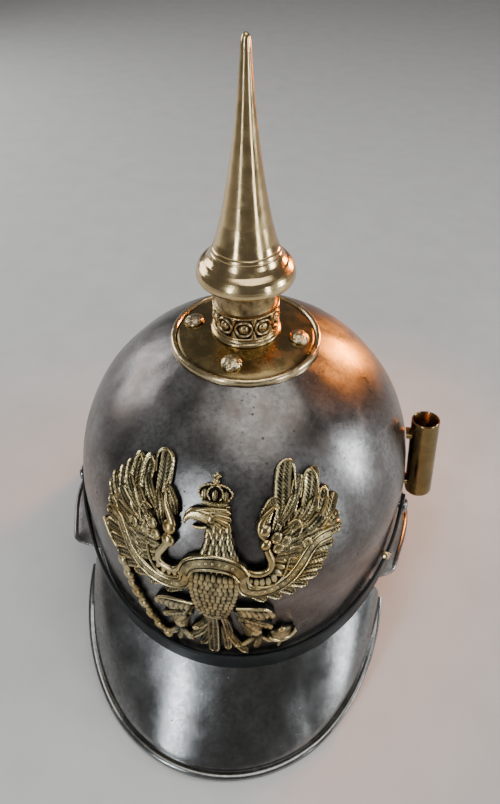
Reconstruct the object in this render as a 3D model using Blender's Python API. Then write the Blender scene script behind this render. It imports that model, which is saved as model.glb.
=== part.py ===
"""Spiked steel helmet with brass fittings, in metres, +Z up, its front facing -Y.

The skull stands on the table on the visor's rim and on the edge of the neck guard.
Heights are measured from the table, and azimuths from the front (-Y), positive towards +X.
"""

import math

import bmesh
import bpy
import numpy as np
from mathutils import Matrix, Vector
from mathutils.geometry import delaunay_2d_cdt

GAP = 0.0003  # clearance between pieces that touch
SEAT = 0.0004  # the same over the facets of a curved piece

# Skull
SKULL_HALF_WIDTH = 0.0935
SKULL_FRONT = 0.105  # spike axis to the brow
SKULL_BACK = 0.096  # spike axis to the back of the head
DOME_RISE = 0.087  # widest level to the crown
WALL_HEIGHT = 0.0625  # visor root to the widest level
SKULL_WALL = 0.0012

# Visor
VISOR_DROP = 0.036  # root of the visor above the table
VISOR_HALF_WIDTH = 0.087
VISOR_REACH = 0.1523  # spike axis to the front edge
VISOR_REAR = 0.055  # spike axis to the visor's rear corners
VISOR_INSET = 0.007  # from the rim's rear corners in to the ends of the root
VISOR_WALL = 0.0012
VISOR_BEAD = 0.0021  # radius of the rolled rim
VISOR_FLANGE = 0.0085  # upright flange riveted under the strap
VISOR_SWELL = 0.0016  # fullness of the peak between root and rim
VISOR_SIDE_RISE = 0.031  # how far the rim climbs towards the rear corners
ROOT_SIDE_RISE = 0.014  # how far the root climbs towards the rear corners

# Neck guard
GUARD_REACH = 0.044  # beyond the back of the skull
GUARD_BEAD = 0.0016
GUARD_START = math.radians(57)  # azimuth where the lower edge begins to flare
EAR_TURN = math.radians(9)  # from there to its full width beside the ear
EAR_REACH = 0.012  # flare beside the ears
GUARD_SKEW = 0.0038  # the flare stands out this much more on the wearer's right, and less on the left
EAR_HEIGHT = 0.0465  # lower edge above the table beside the ears
EAR_END = math.radians(72)
GUARD_LEVEL = math.radians(155)  # from here back the edge lies on the table
FLARE_TOP = 0.014  # start of the flare below the widest level

# Base plate and its rivets
PLATE_RADIUS = 0.0381
PLATE_WALL = 0.0010
PLATE_RIM_WIDTH = 0.0034
PLATE_RIM_RISE = 0.0032  # top of the rim above the skull in front
RIVET_SHARE = 0.709  # radius of their circle as a share of the plate's
RIVET_RADIUS = 0.0051
RIVET_HEIGHT = 0.0029
RIVET_SHANK = 0.0018
RIVET_SEAT = 0.00045  # head above the plate
RIVET_END = 0.0022  # shank beyond the skull
RIVET_TURN = math.radians(-7.1)

# Neck and spike
NECK_RADIUS = 0.0143
NECK_HEIGHT = 0.0297  # from the plate to the flange of the spike
NECK_BORE = 0.0127  # socket of the spike, open below
PEARLS = 10
PEARL_RISE = 0.0011
SPIKE_HEIGHT = 0.0988  # from the underside of the flange to the tip
SPIKE_FLANGE = 0.0233
SPIKE_STEM = 0.018
SPIKE_WALL = 0.0010

# Plume tube on the wearer's left
TUBE_RADIUS = 0.0076
TUBE_WALL = 0.0010
TUBE_LENGTH = 0.0535
TUBE_TOP_HEIGHT = 0.1325
TUBE_CLEAR = 0.0011  # least distance between the skull and the tube
TUBE_SPLAY = math.radians(5.4)
TUBE_LEAN = math.radians(7.5)
LUG_WIDTH = 0.0075
LUG_THICKNESS = 0.0032

# Chin strap, its posts and its slide
STRAP_WIDTH = 0.0135
STRAP_THICKNESS = 0.0020
STRAP_SEAT = 0.0008  # strap above the skull at its posts
STRAP_FOOT = 0.0008  # strap above the visor's root
POST_AZIMUTH = math.radians(73.5)
POST_HEIGHT = 0.0895
POST_SHANK = 0.0018
POST_HEAD = 0.0042
POST_HEAD_RISE = 0.0020
POST_END = 0.0010  # shank beyond the skull's wall
SLIDE_AZIMUTH = math.radians(60.5)
SLIDE_LENGTH = 0.0035
SLIDE_WALL = 0.0007

# Eagle plate, drawn flat and then laid round the brow
EAGLE_HEIGHT = 0.125
EAGLE_PARTS = 125  # the drawing divides the eagle's height into this many parts
EAGLE_MIDDLE = -0.0012  # how far its middle line lies to the wearer's right
EAGLE_BACK = 0.0011  # thickness at its edges
EAGLE_SEAT = 0.0006  # distance from the skull
RELIEF = 0.0016  # height of the boldest relief above the edges

AROUND = 48  # facets round the skull

WIDEST = VISOR_DROP + WALL_HEIGHT  # height of the widest level
CROWN = WIDEST + DOME_RISE
ROOT_END = math.asin(min(0.98, (VISOR_HALF_WIDTH - VISOR_INSET) / SKULL_HALF_WIDTH))


def material(name, colour, metallic, roughness):
    """One Principled material in a plain colour."""
    mat = bpy.data.materials.new(name)
    mat.use_nodes = True
    shader = mat.node_tree.nodes["Principled BSDF"]
    shader.inputs["Base Color"].default_value = (*colour, 1.0)
    shader.inputs["Metallic"].default_value = metallic
    shader.inputs["Roughness"].default_value = roughness
    return mat


def add_object(name, bm, mat, parent=None, smooth_angle=35):
    """Turn a bmesh into a named, smooth-shaded object."""
    bmesh.ops.recalc_face_normals(bm, faces=bm.faces)
    mesh = bpy.data.meshes.new(name)
    bm.to_mesh(mesh)
    bm.free()
    mesh.materials.append(mat)
    mesh.shade_smooth()
    mesh.set_sharp_from_angle(angle=math.radians(smooth_angle))
    obj = bpy.data.objects.new(name, mesh)
    bpy.context.collection.objects.link(obj)
    obj.parent = parent
    return obj


def loft(sections, closed=False):
    """Skin a row of closed loops with equal point counts; open ends are capped."""
    bm = bmesh.new()
    rings = [[bm.verts.new(point) for point in section] for section in sections]
    pairs = list(zip(rings, rings[1:]))
    if closed:
        pairs.append((rings[-1], rings[0]))
    count = len(rings[0])
    for ring, following in pairs:
        for i in range(count):
            j = (i + 1) % count
            bm.faces.new((ring[i], ring[j], following[j], following[i]))
    if not closed:
        bm.faces.new(rings[0])
        bm.faces.new(rings[-1])
    return bm


def turned(name, profile, mat, parent, segments=28):
    """A turned piece: the profile of (radius, height) runs from the top to the bottom."""
    bm = bmesh.new()
    points = [bm.verts.new((radius, 0.0, height)) for radius, height in profile]
    for first, second in zip(points, points[1:]):
        bm.edges.new((first, second))
    obj = add_object(name, bm, mat, parent)
    screw = obj.modifiers.new("turn", "SCREW")
    screw.steps = segments
    screw.render_steps = segments
    screw.use_merge_vertices = True
    screw.merge_threshold = 0.00005
    screw.use_smooth_shade = True
    return obj


def cutter(name, start, end, radius, parent, sides=12):
    """A hidden round bar from start to end, for drilling."""
    bm = bmesh.new()
    axis = Vector(end) - Vector(start)
    turn = axis.to_track_quat("Z", "Y").to_matrix().to_4x4()
    place = Matrix.Translation((Vector(start) + Vector(end)) / 2) @ turn
    bmesh.ops.create_cone(bm, cap_ends=True, segments=sides, radius1=radius, radius2=radius,
                          depth=axis.length, matrix=place)
    mesh = bpy.data.meshes.new(name)
    bm.to_mesh(mesh)
    bm.free()
    obj = bpy.data.objects.new(name, mesh)
    bpy.context.collection.objects.link(obj)
    obj.parent = parent
    obj.hide_render = True
    obj.display_type = "WIRE"
    return obj


def drill(obj, tool):
    """Take the tool's shape out of the object."""
    cut = obj.modifiers.new(tool.name, "BOOLEAN")
    cut.operation = "DIFFERENCE"
    cut.solver = "EXACT"
    cut.object = tool


def skull_length(azimuth):
    """Half-length of the skull on the side that the azimuth points to."""
    return SKULL_FRONT if math.cos(azimuth) > 0 else SKULL_BACK


def skull_radius(azimuth):
    """Distance from the spike axis to the wall at the widest level."""
    across = math.sin(azimuth) / SKULL_HALF_WIDTH
    along = math.cos(azimuth) / skull_length(azimuth)
    return 1.0 / math.hypot(across, along)


def dome_height(x, y):
    """Height of the dome's outer face over a point of its plan."""
    length = SKULL_FRONT if y < 0 else SKULL_BACK
    share = 1.0 - (x / SKULL_HALF_WIDTH) ** 2 - (y / length) ** 2
    return WIDEST + DOME_RISE * math.sqrt(max(share, 0.0))


def level_share(height):
    """How much narrower the skull is at a height than at its widest level."""
    if height <= WIDEST:
        return 1.0
    return math.sqrt(max(0.0, 1.0 - ((height - WIDEST) / DOME_RISE) ** 2))


def wall_point(azimuth, height, offset=0.0):
    """A point at a horizontal distance outside the skull's wall."""
    radius = skull_radius(azimuth) * level_share(height)
    x = radius * math.sin(azimuth)
    y = -radius * math.cos(azimuth)
    outward = wall_normal(azimuth)
    return Vector((x, y, height)) + outward * offset


def wall_normal(azimuth):
    """Horizontal outward direction of the wall."""
    return Vector((math.sin(azimuth) / SKULL_HALF_WIDTH ** 2,
                   -math.cos(azimuth) / skull_length(azimuth) ** 2, 0.0)).normalized()


def smooth_step(value):
    """0 below 0, 1 above 1, and a smooth climb between."""
    value = min(1.0, max(0.0, value))
    return value * value * (3.0 - 2.0 * value)


def root_height(azimuth):
    """Height of the visor's root, and of the strap's lower edge in front."""
    return VISOR_DROP + ROOT_SIDE_RISE * (abs(azimuth) / ROOT_END) ** 2.2


# The skull's lower edge: brow, ear and neck guard

def edge_height(azimuth):
    """Height of the middle of the lower edge's roll."""
    turn = abs(azimuth)
    rest = GUARD_BEAD * math.cos(math.radians(30))
    if turn <= GUARD_START:
        brow = VISOR_DROP - 0.0015
        return brow + (EAR_HEIGHT - brow) * (turn / GUARD_START) ** 2
    fall = smooth_step((turn - EAR_END) / (GUARD_LEVEL - EAR_END))
    return EAR_HEIGHT + (rest - EAR_HEIGHT) * fall


def edge_reach(azimuth):
    """How far the lower edge stands out beyond the wall."""
    turn = abs(azimuth)
    ear = smooth_step((turn - GUARD_START) / EAR_TURN)
    nape = max(0.0, (turn - EAR_END) / (math.pi - EAR_END)) ** 1.2
    skew = GUARD_SKEW * math.sin(azimuth)
    return (EAR_REACH - skew) * ear + (GUARD_REACH - EAR_REACH) * nape


def edge_bead(azimuth):
    """Radius of the rolled edge; in front it is only the wall's own thickness."""
    share = smooth_step((abs(azimuth) - GUARD_START) / math.radians(12))
    plain = SKULL_WALL / 2
    return plain + (GUARD_BEAD - plain) * share


DOME_ROWS = 8
FLARE_ROWS = 5
BEAD_ANGLES = (75, 25, -20, -60, -120, 175)  # round the roll, from its top outwards and under


def skull_profile(azimuth):
    """Closed profile (radius, height) of the shell: outer face, rolled edge, inner face."""
    radius = skull_radius(azimuth)
    outer = []
    for i in range(1, DOME_ROWS):
        rise = math.pi / 2 * (1 - i / DOME_ROWS)
        outer.append((radius * math.cos(rise), WIDEST + DOME_RISE * math.sin(rise)))
    top = WIDEST - FLARE_TOP
    low = edge_height(azimuth)
    reach = edge_reach(azimuth)
    knee = low + 0.35 * (top - low)
    for i in range(FLARE_ROWS):
        t = i / FLARE_ROWS
        share = (1 - t) ** 2 * top + 2 * t * (1 - t) * knee + t ** 2 * low
        out = reach * (0.10 * t * (1 - t) + t ** 3)
        outer.append((radius + out, share))
    points = np.array([(0.0, CROWN)] + outer + [(radius + reach, low)])
    steps = np.gradient(points, axis=0)
    steps /= np.linalg.norm(steps, axis=1, keepdims=True)
    inward = np.stack([steps[:, 1], -steps[:, 0]], axis=1)
    inner = points + inward * SKULL_WALL
    inner[0] = (0.0, CROWN - SKULL_WALL)
    middle = np.array((points[-1][0] + inward[-1][0] * SKULL_WALL / 2, low))
    bead = edge_bead(azimuth)
    roll = [middle + bead * np.array((math.cos(math.radians(a)), math.sin(math.radians(a))))
            for a in BEAD_ANGLES]
    return points[1:-1], roll, inner[1:-1][::-1]


def make_skull(parent, steel):
    """One raised steel shell, open below, with the flared guard over the neck."""
    bm = bmesh.new()
    rings = []
    for i in range(AROUND):
        azimuth = -math.pi + 2 * math.pi * (i + 0.5) / AROUND
        outer, roll, inner = skull_profile(azimuth)
        rows = [*outer, *roll, *inner]
        rings.append([bm.verts.new((r * math.sin(azimuth), -r * math.cos(azimuth), z)) for r, z in rows])
    crown = bm.verts.new((0, 0, CROWN))
    crown_inside = bm.verts.new((0, 0, CROWN - SKULL_WALL))
    for ring, following in zip(rings, rings[1:] + rings[:1]):
        for row in range(len(ring) - 1):
            bm.faces.new((ring[row], ring[row + 1], following[row + 1], following[row]))
        bm.faces.new((crown, ring[0], following[0]))
        bm.faces.new((crown_inside, following[-1], ring[-1]))
    return add_object("skull", bm, steel, parent)


# Visor

VISOR_SECTIONS = 30
VISOR_ROWS = 3


def visor_section(share):
    """Closed loop of the visor at a share from -1 (one rear corner) to 1 (the other)."""
    turn = share * math.pi / 2
    azimuth_root = share * ROOT_END
    radius_x = SKULL_HALF_WIDTH * math.sin(azimuth_root)
    radius_y = SKULL_FRONT * math.cos(azimuth_root)
    azimuth = math.atan2(radius_x, radius_y)
    root_z = root_height(azimuth)
    climb = max(0.0, (abs(math.degrees(turn)) - 38.0) / 52.0) ** 1.35
    rest = VISOR_BEAD * math.cos(math.radians(30))
    rim = Vector((VISOR_HALF_WIDTH * math.sin(turn),
                  -VISOR_REAR - (VISOR_REACH - VISOR_REAR) * math.cos(turn),
                  rest + VISOR_SIDE_RISE * climb))
    inside = wall_point(azimuth, root_z, GAP)
    outside = wall_point(azimuth, root_z, GAP + VISOR_WALL)
    flange = VISOR_FLANGE * (1.0 - 0.5 * abs(share) ** 3)
    lift = Vector((0, 0, flange))
    across = rim - outside
    side = Vector((across.x, across.y, 0.0)).normalized()
    slope = across.normalized()
    under = slope.cross(side.cross(Vector((0, 0, 1)))).normalized()
    if under.z > 0:
        under = -under
    slant = math.atan2(-across.z, across.dot(side))
    heel = VISOR_WALL * (math.tan(slant) - 1.0 / math.cos(slant))
    loop = [inside + lift, outside + lift, outside]
    for i in range(1, VISOR_ROWS + 1):
        t = i / (VISOR_ROWS + 1)
        loop.append(outside + across * t - under * VISOR_SWELL * math.sin(math.pi * t))
    for angle in (110, 60, 15, -25, -60, -120):
        a = math.radians(angle)
        loop.append(rim + side * VISOR_BEAD * math.cos(a) + Vector((0, 0, VISOR_BEAD * math.sin(a))))
    for i in range(VISOR_ROWS, 0, -1):
        t = i / (VISOR_ROWS + 1)
        loop.append(outside + across * t + under * (VISOR_WALL - VISOR_SWELL * math.sin(math.pi * t)))
    loop.append(inside + Vector((0, 0, heel)))
    return loop


def make_visor(parent, steel):
    """Forged peak: an upright flange on the skull, the sloping plate and the rolled rim."""
    shares = [-1 + 2 * i / VISOR_SECTIONS for i in range(VISOR_SECTIONS + 1)]
    return add_object("visor", loft([visor_section(s) for s in shares]), steel, parent)


# Base plate and rivets

PLATE_TOP = dome_height(0.0, -PLATE_RADIUS) + PLATE_RIM_RISE
PLATE_RINGS = (0.21, 0.45, 0.71, 0.90)  # shares of the plate's radius
PLATE_SIDES = 32


def plate_top(share):
    """Height of the plate's upper face inside its rim, the same all round."""
    return max(dome_height(0.0, -PLATE_RADIUS * share), dome_height(PLATE_RADIUS * share, 0.0)) \
        + SEAT + PLATE_WALL


def make_base_plate(parent, brass):
    """Round dished plate: the same height all round above, fitted to the skull below."""
    inner = PLATE_RADIUS - PLATE_RIM_WIDTH
    tops = [(PLATE_RADIUS * share, plate_top(share)) for share in PLATE_RINGS]
    tops += [(inner + 0.0002, PLATE_TOP - 0.0010), (inner + 0.0010, PLATE_TOP - 0.0001),
             (inner + 0.0021, PLATE_TOP), (PLATE_RADIUS - 0.0002, PLATE_TOP - 0.0006),
             (PLATE_RADIUS, PLATE_TOP - 0.0016)]
    unders = [PLATE_RADIUS, *(PLATE_RADIUS * share for share in reversed(PLATE_RINGS))]
    bm = bmesh.new()
    rings = []
    for i in range(PLATE_SIDES):
        azimuth = 2 * math.pi * i / PLATE_SIDES
        across, along = math.sin(azimuth), -math.cos(azimuth)
        ring = [bm.verts.new((r * across, r * along, z)) for r, z in tops]
        for r in unders:
            height = dome_height(r * across, r * along) + SEAT
            ring.append(bm.verts.new((r * across, r * along, height)))
        rings.append(ring)
    top = bm.verts.new((0, 0, plate_top(0)))
    bottom = bm.verts.new((0, 0, CROWN + SEAT))
    for ring, following in zip(rings, rings[1:] + rings[:1]):
        for row in range(len(ring) - 1):
            bm.faces.new((ring[row], ring[row + 1], following[row + 1], following[row]))
        bm.faces.new((top, ring[0], following[0]))
        bm.faces.new((bottom, following[-1], ring[-1]))
    return add_object("base_plate", bm, brass, parent)


def make_rivets(parent, brass, plate, skull):
    """Four dome-headed rivets through the plate and the skull."""
    step = 0.05
    drop = plate_top(RIVET_SHARE - step) - plate_top(RIVET_SHARE + step)
    slope = math.atan2(drop, 2 * step * PLATE_RADIUS)
    depth = PLATE_WALL + SKULL_WALL + RIVET_END
    for i in range(4):
        azimuth = RIVET_TURN + math.pi / 2 * i
        out = Vector((math.sin(azimuth), -math.cos(azimuth), 0.0))
        axis = (Vector((0, 0, 1)) * math.cos(slope) + out * math.sin(slope)).normalized()
        foot = out * RIVET_SHARE * PLATE_RADIUS + Vector((0, 0, plate_top(RIVET_SHARE)))
        seat = RIVET_SEAT
        profile = [(0.0, seat + RIVET_HEIGHT), (0.42 * RIVET_RADIUS, seat + 0.90 * RIVET_HEIGHT),
                   (0.76 * RIVET_RADIUS, seat + 0.62 * RIVET_HEIGHT),
                   (0.97 * RIVET_RADIUS, seat + 0.22 * RIVET_HEIGHT), (RIVET_RADIUS, seat),
                   (RIVET_SHANK, seat), (RIVET_SHANK, -depth), (0.0, -depth)]
        rivet = turned(f"plate_rivet_{i + 1}", profile, brass, parent, segments=12)
        rivet.location = foot
        rivet.rotation_mode = "QUATERNION"
        rivet.rotation_quaternion = axis.to_track_quat("Z", "Y")
        tool = cutter(f"rivet_hole_{i + 1}", foot + axis * 0.002, foot - axis * (depth + 0.002),
                      RIVET_SHANK + GAP, parent)
        drill(plate, tool)
        drill(skull, tool)


# Neck and spike

NECK_SIDES = 40
# share of the neck's radius, share of its height, above the plate
NECK_ROWS = ((1.21, 0.000), (1.22, 0.035), (1.13, 0.095), (1.12, 0.145), (1.14, 0.165), (1.14, 0.185),
             (1.09, 0.200), (1.09, 0.275), (1.09, 0.370), (1.09, 0.465), (1.09, 0.540), (1.13, 0.555),
             (1.13, 0.580), (1.00, 0.595), (1.00, 1.000))
PEARL_ROWS = {7: 0.45, 8: 1.0, 9: 0.45}  # rows of the pearl band and the share of the rise there


def neck_foot():
    """Height of the neck's foot on the plate."""
    return plate_top(NECK_ROWS[0][0] * NECK_RADIUS / PLATE_RADIUS) + SEAT


def make_neck(parent, brass):
    """Hollow collar under the spike, with a ring of raised pearls outside."""
    foot = neck_foot()
    bm = bmesh.new()
    rings = []
    for i in range(NECK_SIDES):
        azimuth = 2 * math.pi * i / NECK_SIDES
        across, along = math.sin(azimuth), -math.cos(azimuth)
        ring = []
        for row, (share, rise) in enumerate(NECK_ROWS):
            radius = share * NECK_RADIUS
            if row in PEARL_ROWS:
                wave = math.cos(azimuth * PEARLS)
                radius += PEARL_RISE * PEARL_ROWS[row] * max(0.0, wave)
            ring.append(bm.verts.new((radius * across, radius * along, foot + rise * NECK_HEIGHT)))
        for height in (foot + NECK_HEIGHT, plate_top(NECK_BORE / PLATE_RADIUS) + SEAT):
            ring.append(bm.verts.new((NECK_BORE * across, NECK_BORE * along, height)))
        rings.append(ring)
    for ring, following in zip(rings, rings[1:] + rings[:1]):
        for row in range(len(ring)):
            after = (row + 1) % len(ring)
            bm.faces.new((ring[row], ring[after], following[after], following[row]))
    return add_object("spike_neck", bm, brass, parent)


# share of the flange radius, share of the spike's height, from the tip down
SPIKE_ROWS = ((0.000, 1.000), (0.034, 0.998), (0.066, 0.988), (0.090, 0.960), (0.103, 0.909),
              (0.127, 0.843), (0.154, 0.773), (0.190, 0.700), (0.228, 0.624), (0.285, 0.544),
              (0.336, 0.460), (0.417, 0.372), (0.493, 0.280), (0.600, 0.183), (0.680, 0.135),
              (0.735, 0.104), (0.785, 0.090), (0.870, 0.080), (0.950, 0.058), (0.995, 0.030),
              (1.000, 0.014), (0.960, 0.003), (0.900, 0.000))


# The same columns for the hollow inside, from its foot up
SPIKE_INSIDE = ((0.860, 0.013), (0.900, 0.040), (0.740, 0.080), (0.620, 0.135), (0.370, 0.374),
                (0.236, 0.546), (0.088, 0.842), (0.050, 0.940))


def make_spike(parent, brass):
    """Hollow trumpet-shaped cone with a convex lip, on an open stem that sits in the neck."""
    base = neck_foot() + NECK_HEIGHT + GAP
    profile = [(share * SPIKE_FLANGE, base + rise * SPIKE_HEIGHT) for share, rise in SPIKE_ROWS]
    stem = NECK_BORE - GAP
    bore = stem - SPIKE_WALL
    profile += [(stem, base), (stem, base - SPIKE_STEM), (bore, base - SPIKE_STEM)]
    profile.append((bore, base + SPIKE_INSIDE[0][1] * SPIKE_HEIGHT))
    profile += [(share * SPIKE_FLANGE, base + rise * SPIKE_HEIGHT) for share, rise in SPIKE_INSIDE]
    profile.append((0.0, base + 0.955 * SPIKE_HEIGHT))
    return turned("spike", profile, brass, parent, segments=22)


# Plume tube

def tube_frame():
    """Mouth centre and the direction from the mouth down to the closed end."""
    drops = [TUBE_LENGTH * share / 12 for share in range(13)]
    widths = [SKULL_HALF_WIDTH * level_share(TUBE_TOP_HEIGHT - drop) - drop * math.tan(TUBE_SPLAY)
              for drop in drops]
    out = max(widths) + TUBE_CLEAR + TUBE_RADIUS
    mouth = Vector((out, 0.0, TUBE_TOP_HEIGHT))
    down = Vector((math.tan(TUBE_SPLAY), -math.tan(TUBE_LEAN), -1.0)).normalized()
    return mouth, down


def make_tube(parent, brass):
    """Open tube with a closed round end, and two lugs that reach the skull."""
    mouth, down = tube_frame()
    r, wall, length = TUBE_RADIUS, TUBE_WALL, TUBE_LENGTH
    profile = [(r - wall, 0.0), (r, 0.0), (r, -length + 0.35 * r), (0.82 * r, -length + 0.06 * r),
               (0.50 * r, -length), (0.0, -length)]
    inner = [(0.0, -length + wall), (0.45 * r, -length + wall), (0.66 * r, -length + wall + 0.10 * r),
             (r - wall, -length + 0.35 * r + 0.5 * wall)]
    bm = bmesh.new()
    rows = profile + inner
    sides = 20
    rings = []
    turn = (-down).to_track_quat("Z", "Y").to_matrix()
    for i in range(sides):
        a = 2 * math.pi * i / sides
        ring = {}
        for row, (radius, height) in enumerate(rows):
            if radius > 0:
                ring[row] = bm.verts.new(mouth + turn @ Vector((radius * math.cos(a),
                                                                radius * math.sin(a), height)))
        rings.append(ring)
    poles = {row: bm.verts.new(mouth + turn @ Vector((0, 0, height)))
             for row, (radius, height) in enumerate(rows) if radius == 0}
    total = len(rows)
    for ring, following in zip(rings, rings[1:] + rings[:1]):
        for row in range(total):
            nxt = (row + 1) % total
            if row in poles and nxt in poles:
                continue
            if row in poles:
                bm.faces.new((poles[row], ring[nxt], following[nxt]))
            elif nxt in poles:
                bm.faces.new((ring[row], poles[nxt], following[row]))
            else:
                bm.faces.new((ring[row], ring[nxt], following[nxt], following[row]))
    tube = add_object("plume_tube", bm, brass, parent)
    for number, share in enumerate((0.20, 0.84)):
        centre = mouth + down * (share * length)
        height = centre.z
        bm = bmesh.new()
        corners = []
        for dy, dz in ((-1, -1), (1, -1), (1, 1), (-1, 1)):
            y = centre.y + dy * LUG_WIDTH / 2
            z = height + dz * LUG_THICKNESS / 2
            share_z = level_share(z)
            half = SKULL_FRONT if y < 0 else SKULL_BACK
            x = SKULL_HALF_WIDTH * math.sqrt(share_z ** 2 - (y / half) ** 2) + GAP + 0.0002
            corners.append((bm.verts.new((x, y, z)), bm.verts.new((centre.x - r + 0.6 * wall, y, z))))
        bm.faces.new([pair[0] for pair in corners])
        bm.faces.new([pair[1] for pair in corners])
        for (a, b), (c, d) in zip(corners, corners[1:] + corners[:1]):
            bm.faces.new((a, b, d, c))
        lug = add_object(f"tube_lug_{number + 1}", bm, brass, parent)
        lug.hide_render = True
        lug.display_type = "WIRE"
        join = tube.modifiers.new(lug.name, "BOOLEAN")
        join.operation = "UNION"
        join.solver = "EXACT"
        join.object = lug
    return tube


# Chin strap

STRAP_STATIONS = 34
# share of the way from the front to the post, share of the climb from the brow to the post
STRAP_CLIMB = ((0.00, 0.000), (0.20, 0.010), (0.40, 0.070), (0.55, 0.180), (0.68, 0.330),
               (0.80, 0.540), (0.90, 0.760), (1.00, 1.000))


def strap_centre(azimuth):
    """Point in the middle of the strap's thickness, and its outward direction."""
    share = abs(azimuth) / POST_AZIMUTH
    climb = float(np.interp(share, [row[0] for row in STRAP_CLIMB], [row[1] for row in STRAP_CLIMB]))
    brow = VISOR_DROP + STRAP_WIDTH / 2 + STRAP_FOOT
    height = brow + (POST_HEIGHT - brow) * climb
    lift = GAP + VISOR_WALL + SEAT + 0.0001
    lift += (STRAP_SEAT - lift) * smooth_step((share - 0.87) / 0.13)
    return wall_point(azimuth, height, lift + STRAP_THICKNESS / 2)


def strap_frame(azimuth):
    """Centre, direction along, direction across and outward normal of the strap."""
    step = math.radians(1.5)
    low, high = azimuth - step, azimuth + step
    along = (strap_centre(high) - strap_centre(low)).normalized()
    normal = wall_normal(azimuth)
    across = normal.cross(along).normalized()
    if across.z < 0:
        across = -across
    normal = along.cross(across).normalized()
    if normal.dot(wall_normal(azimuth)) < 0:
        normal = -normal
    return strap_centre(azimuth), along, across, normal


def strap_section(azimuth, width, shift=0.0):
    """Rectangle of the strap at an azimuth, moved along the strap by shift."""
    centre, along, across, normal = strap_frame(azimuth)
    centre = centre + along * shift
    half, thick = across * width / 2, normal * STRAP_THICKNESS / 2
    return [centre - half - thick, centre + half - thick, centre + half + thick, centre - half + thick]


def make_strap(parent, leather):
    """Leather strap from post to post round the brow, with round ends."""
    sections = []
    caps = [(math.cos(a) * STRAP_WIDTH / 2, math.sin(a)) for a in np.linspace(0.25, 1.45, 5)]
    for back, width in reversed(caps):
        sections.append(strap_section(-POST_AZIMUTH, STRAP_WIDTH * math.sqrt(1 - width ** 2) + 0.0008,
                                      -width * STRAP_WIDTH / 2))
    for i in range(STRAP_STATIONS + 1):
        azimuth = -POST_AZIMUTH + 2 * POST_AZIMUTH * i / STRAP_STATIONS
        sections.append(strap_section(azimuth, STRAP_WIDTH))
    for back, width in caps:
        sections.append(strap_section(POST_AZIMUTH, STRAP_WIDTH * math.sqrt(1 - width ** 2) + 0.0008,
                                      width * STRAP_WIDTH / 2))
    return add_object("chin_strap", loft(sections), leather, parent)


def make_posts(parent, steel, skull, strap):
    """Round-headed posts through the strap's ends and the skull's sides."""
    for side, name in ((-1, "strap_post_right"), (1, "strap_post_left")):
        azimuth = side * POST_AZIMUTH
        normal = wall_normal(azimuth)
        foot = wall_point(azimuth, POST_HEIGHT)
        reach = STRAP_SEAT + STRAP_THICKNESS + SEAT
        inside = SKULL_WALL + POST_END
        profile = [(0.0, reach + POST_HEAD_RISE), (0.55 * POST_HEAD, reach + 0.86 * POST_HEAD_RISE),
                   (0.90 * POST_HEAD, reach + 0.45 * POST_HEAD_RISE), (POST_HEAD, reach),
                   (POST_SHANK, reach), (POST_SHANK, -inside), (0.0, -inside)]
        post = turned(name, profile, steel, parent, segments=12)
        post.location = foot
        post.rotation_mode = "QUATERNION"
        post.rotation_quaternion = normal.to_track_quat("Z", "Y")
        tool = cutter(f"post_hole_{name}", foot - normal * (inside + 0.003), foot + normal * 0.006,
                      POST_SHANK + GAP, parent)
        drill(skull, tool)
        drill(strap, tool)


def make_slide(parent, brass):
    """Rectangular brass loop round the strap at the wearer's left."""
    centre, along, across, normal = strap_frame(SLIDE_AZIMUTH)
    inner = (STRAP_WIDTH / 2 + GAP, STRAP_THICKNESS / 2 + GAP)
    outer = (inner[0] + SLIDE_WALL, inner[1] + SLIDE_WALL)
    sections = []
    for a, b in ((-1, -1), (1, -1), (1, 1), (-1, 1)):
        near = centre + across * a * inner[0] + normal * b * inner[1]
        far = centre + across * a * outer[0] + normal * b * outer[1]
        half = along * SLIDE_LENGTH / 2
        sections.append([near - half, near + half, far + half, far - half])
    return add_object("strap_slide", loft(sections, closed=True), brass, parent)


# Eagle plate, drawn in parts: u to the right and v up from the widest level of the skull

def arc_table(across, rise, steps=600):
    """Arc lengths of a quarter of an ellipse, from its end on the first axis."""
    turn = np.linspace(0.0, math.pi / 2, steps)
    pieces = np.hypot(across * np.diff(np.cos(turn)), rise * np.diff(np.sin(turn)))
    return turn, np.concatenate([[0.0], np.cumsum(pieces)])


MERIDIAN = arc_table(SKULL_FRONT, DOME_RISE)
PARALLEL = arc_table(SKULL_FRONT, SKULL_HALF_WIDTH)


def on_skull(u, v, w):
    """Lay a point of the flat drawing on the skull's front; w is the height above it."""
    if v > 0:
        rise = float(np.interp(v, MERIDIAN[1], MERIDIAN[0]))
        height, share = WIDEST + DOME_RISE * math.sin(rise), math.cos(rise)
    else:
        height, share = WIDEST + v, 1.0
    turn = math.copysign(float(np.interp(abs(u) / share, PARALLEL[1], PARALLEL[0])), u)
    point = Vector((SKULL_HALF_WIDTH * share * math.sin(turn), -SKULL_FRONT * share * math.cos(turn),
                    height))
    normal = Vector((point.x / SKULL_HALF_WIDTH ** 2, point.y / SKULL_FRONT ** 2,
                     max(0.0, height - WIDEST) / DOME_RISE ** 2)).normalized()
    return point + normal * w


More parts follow.
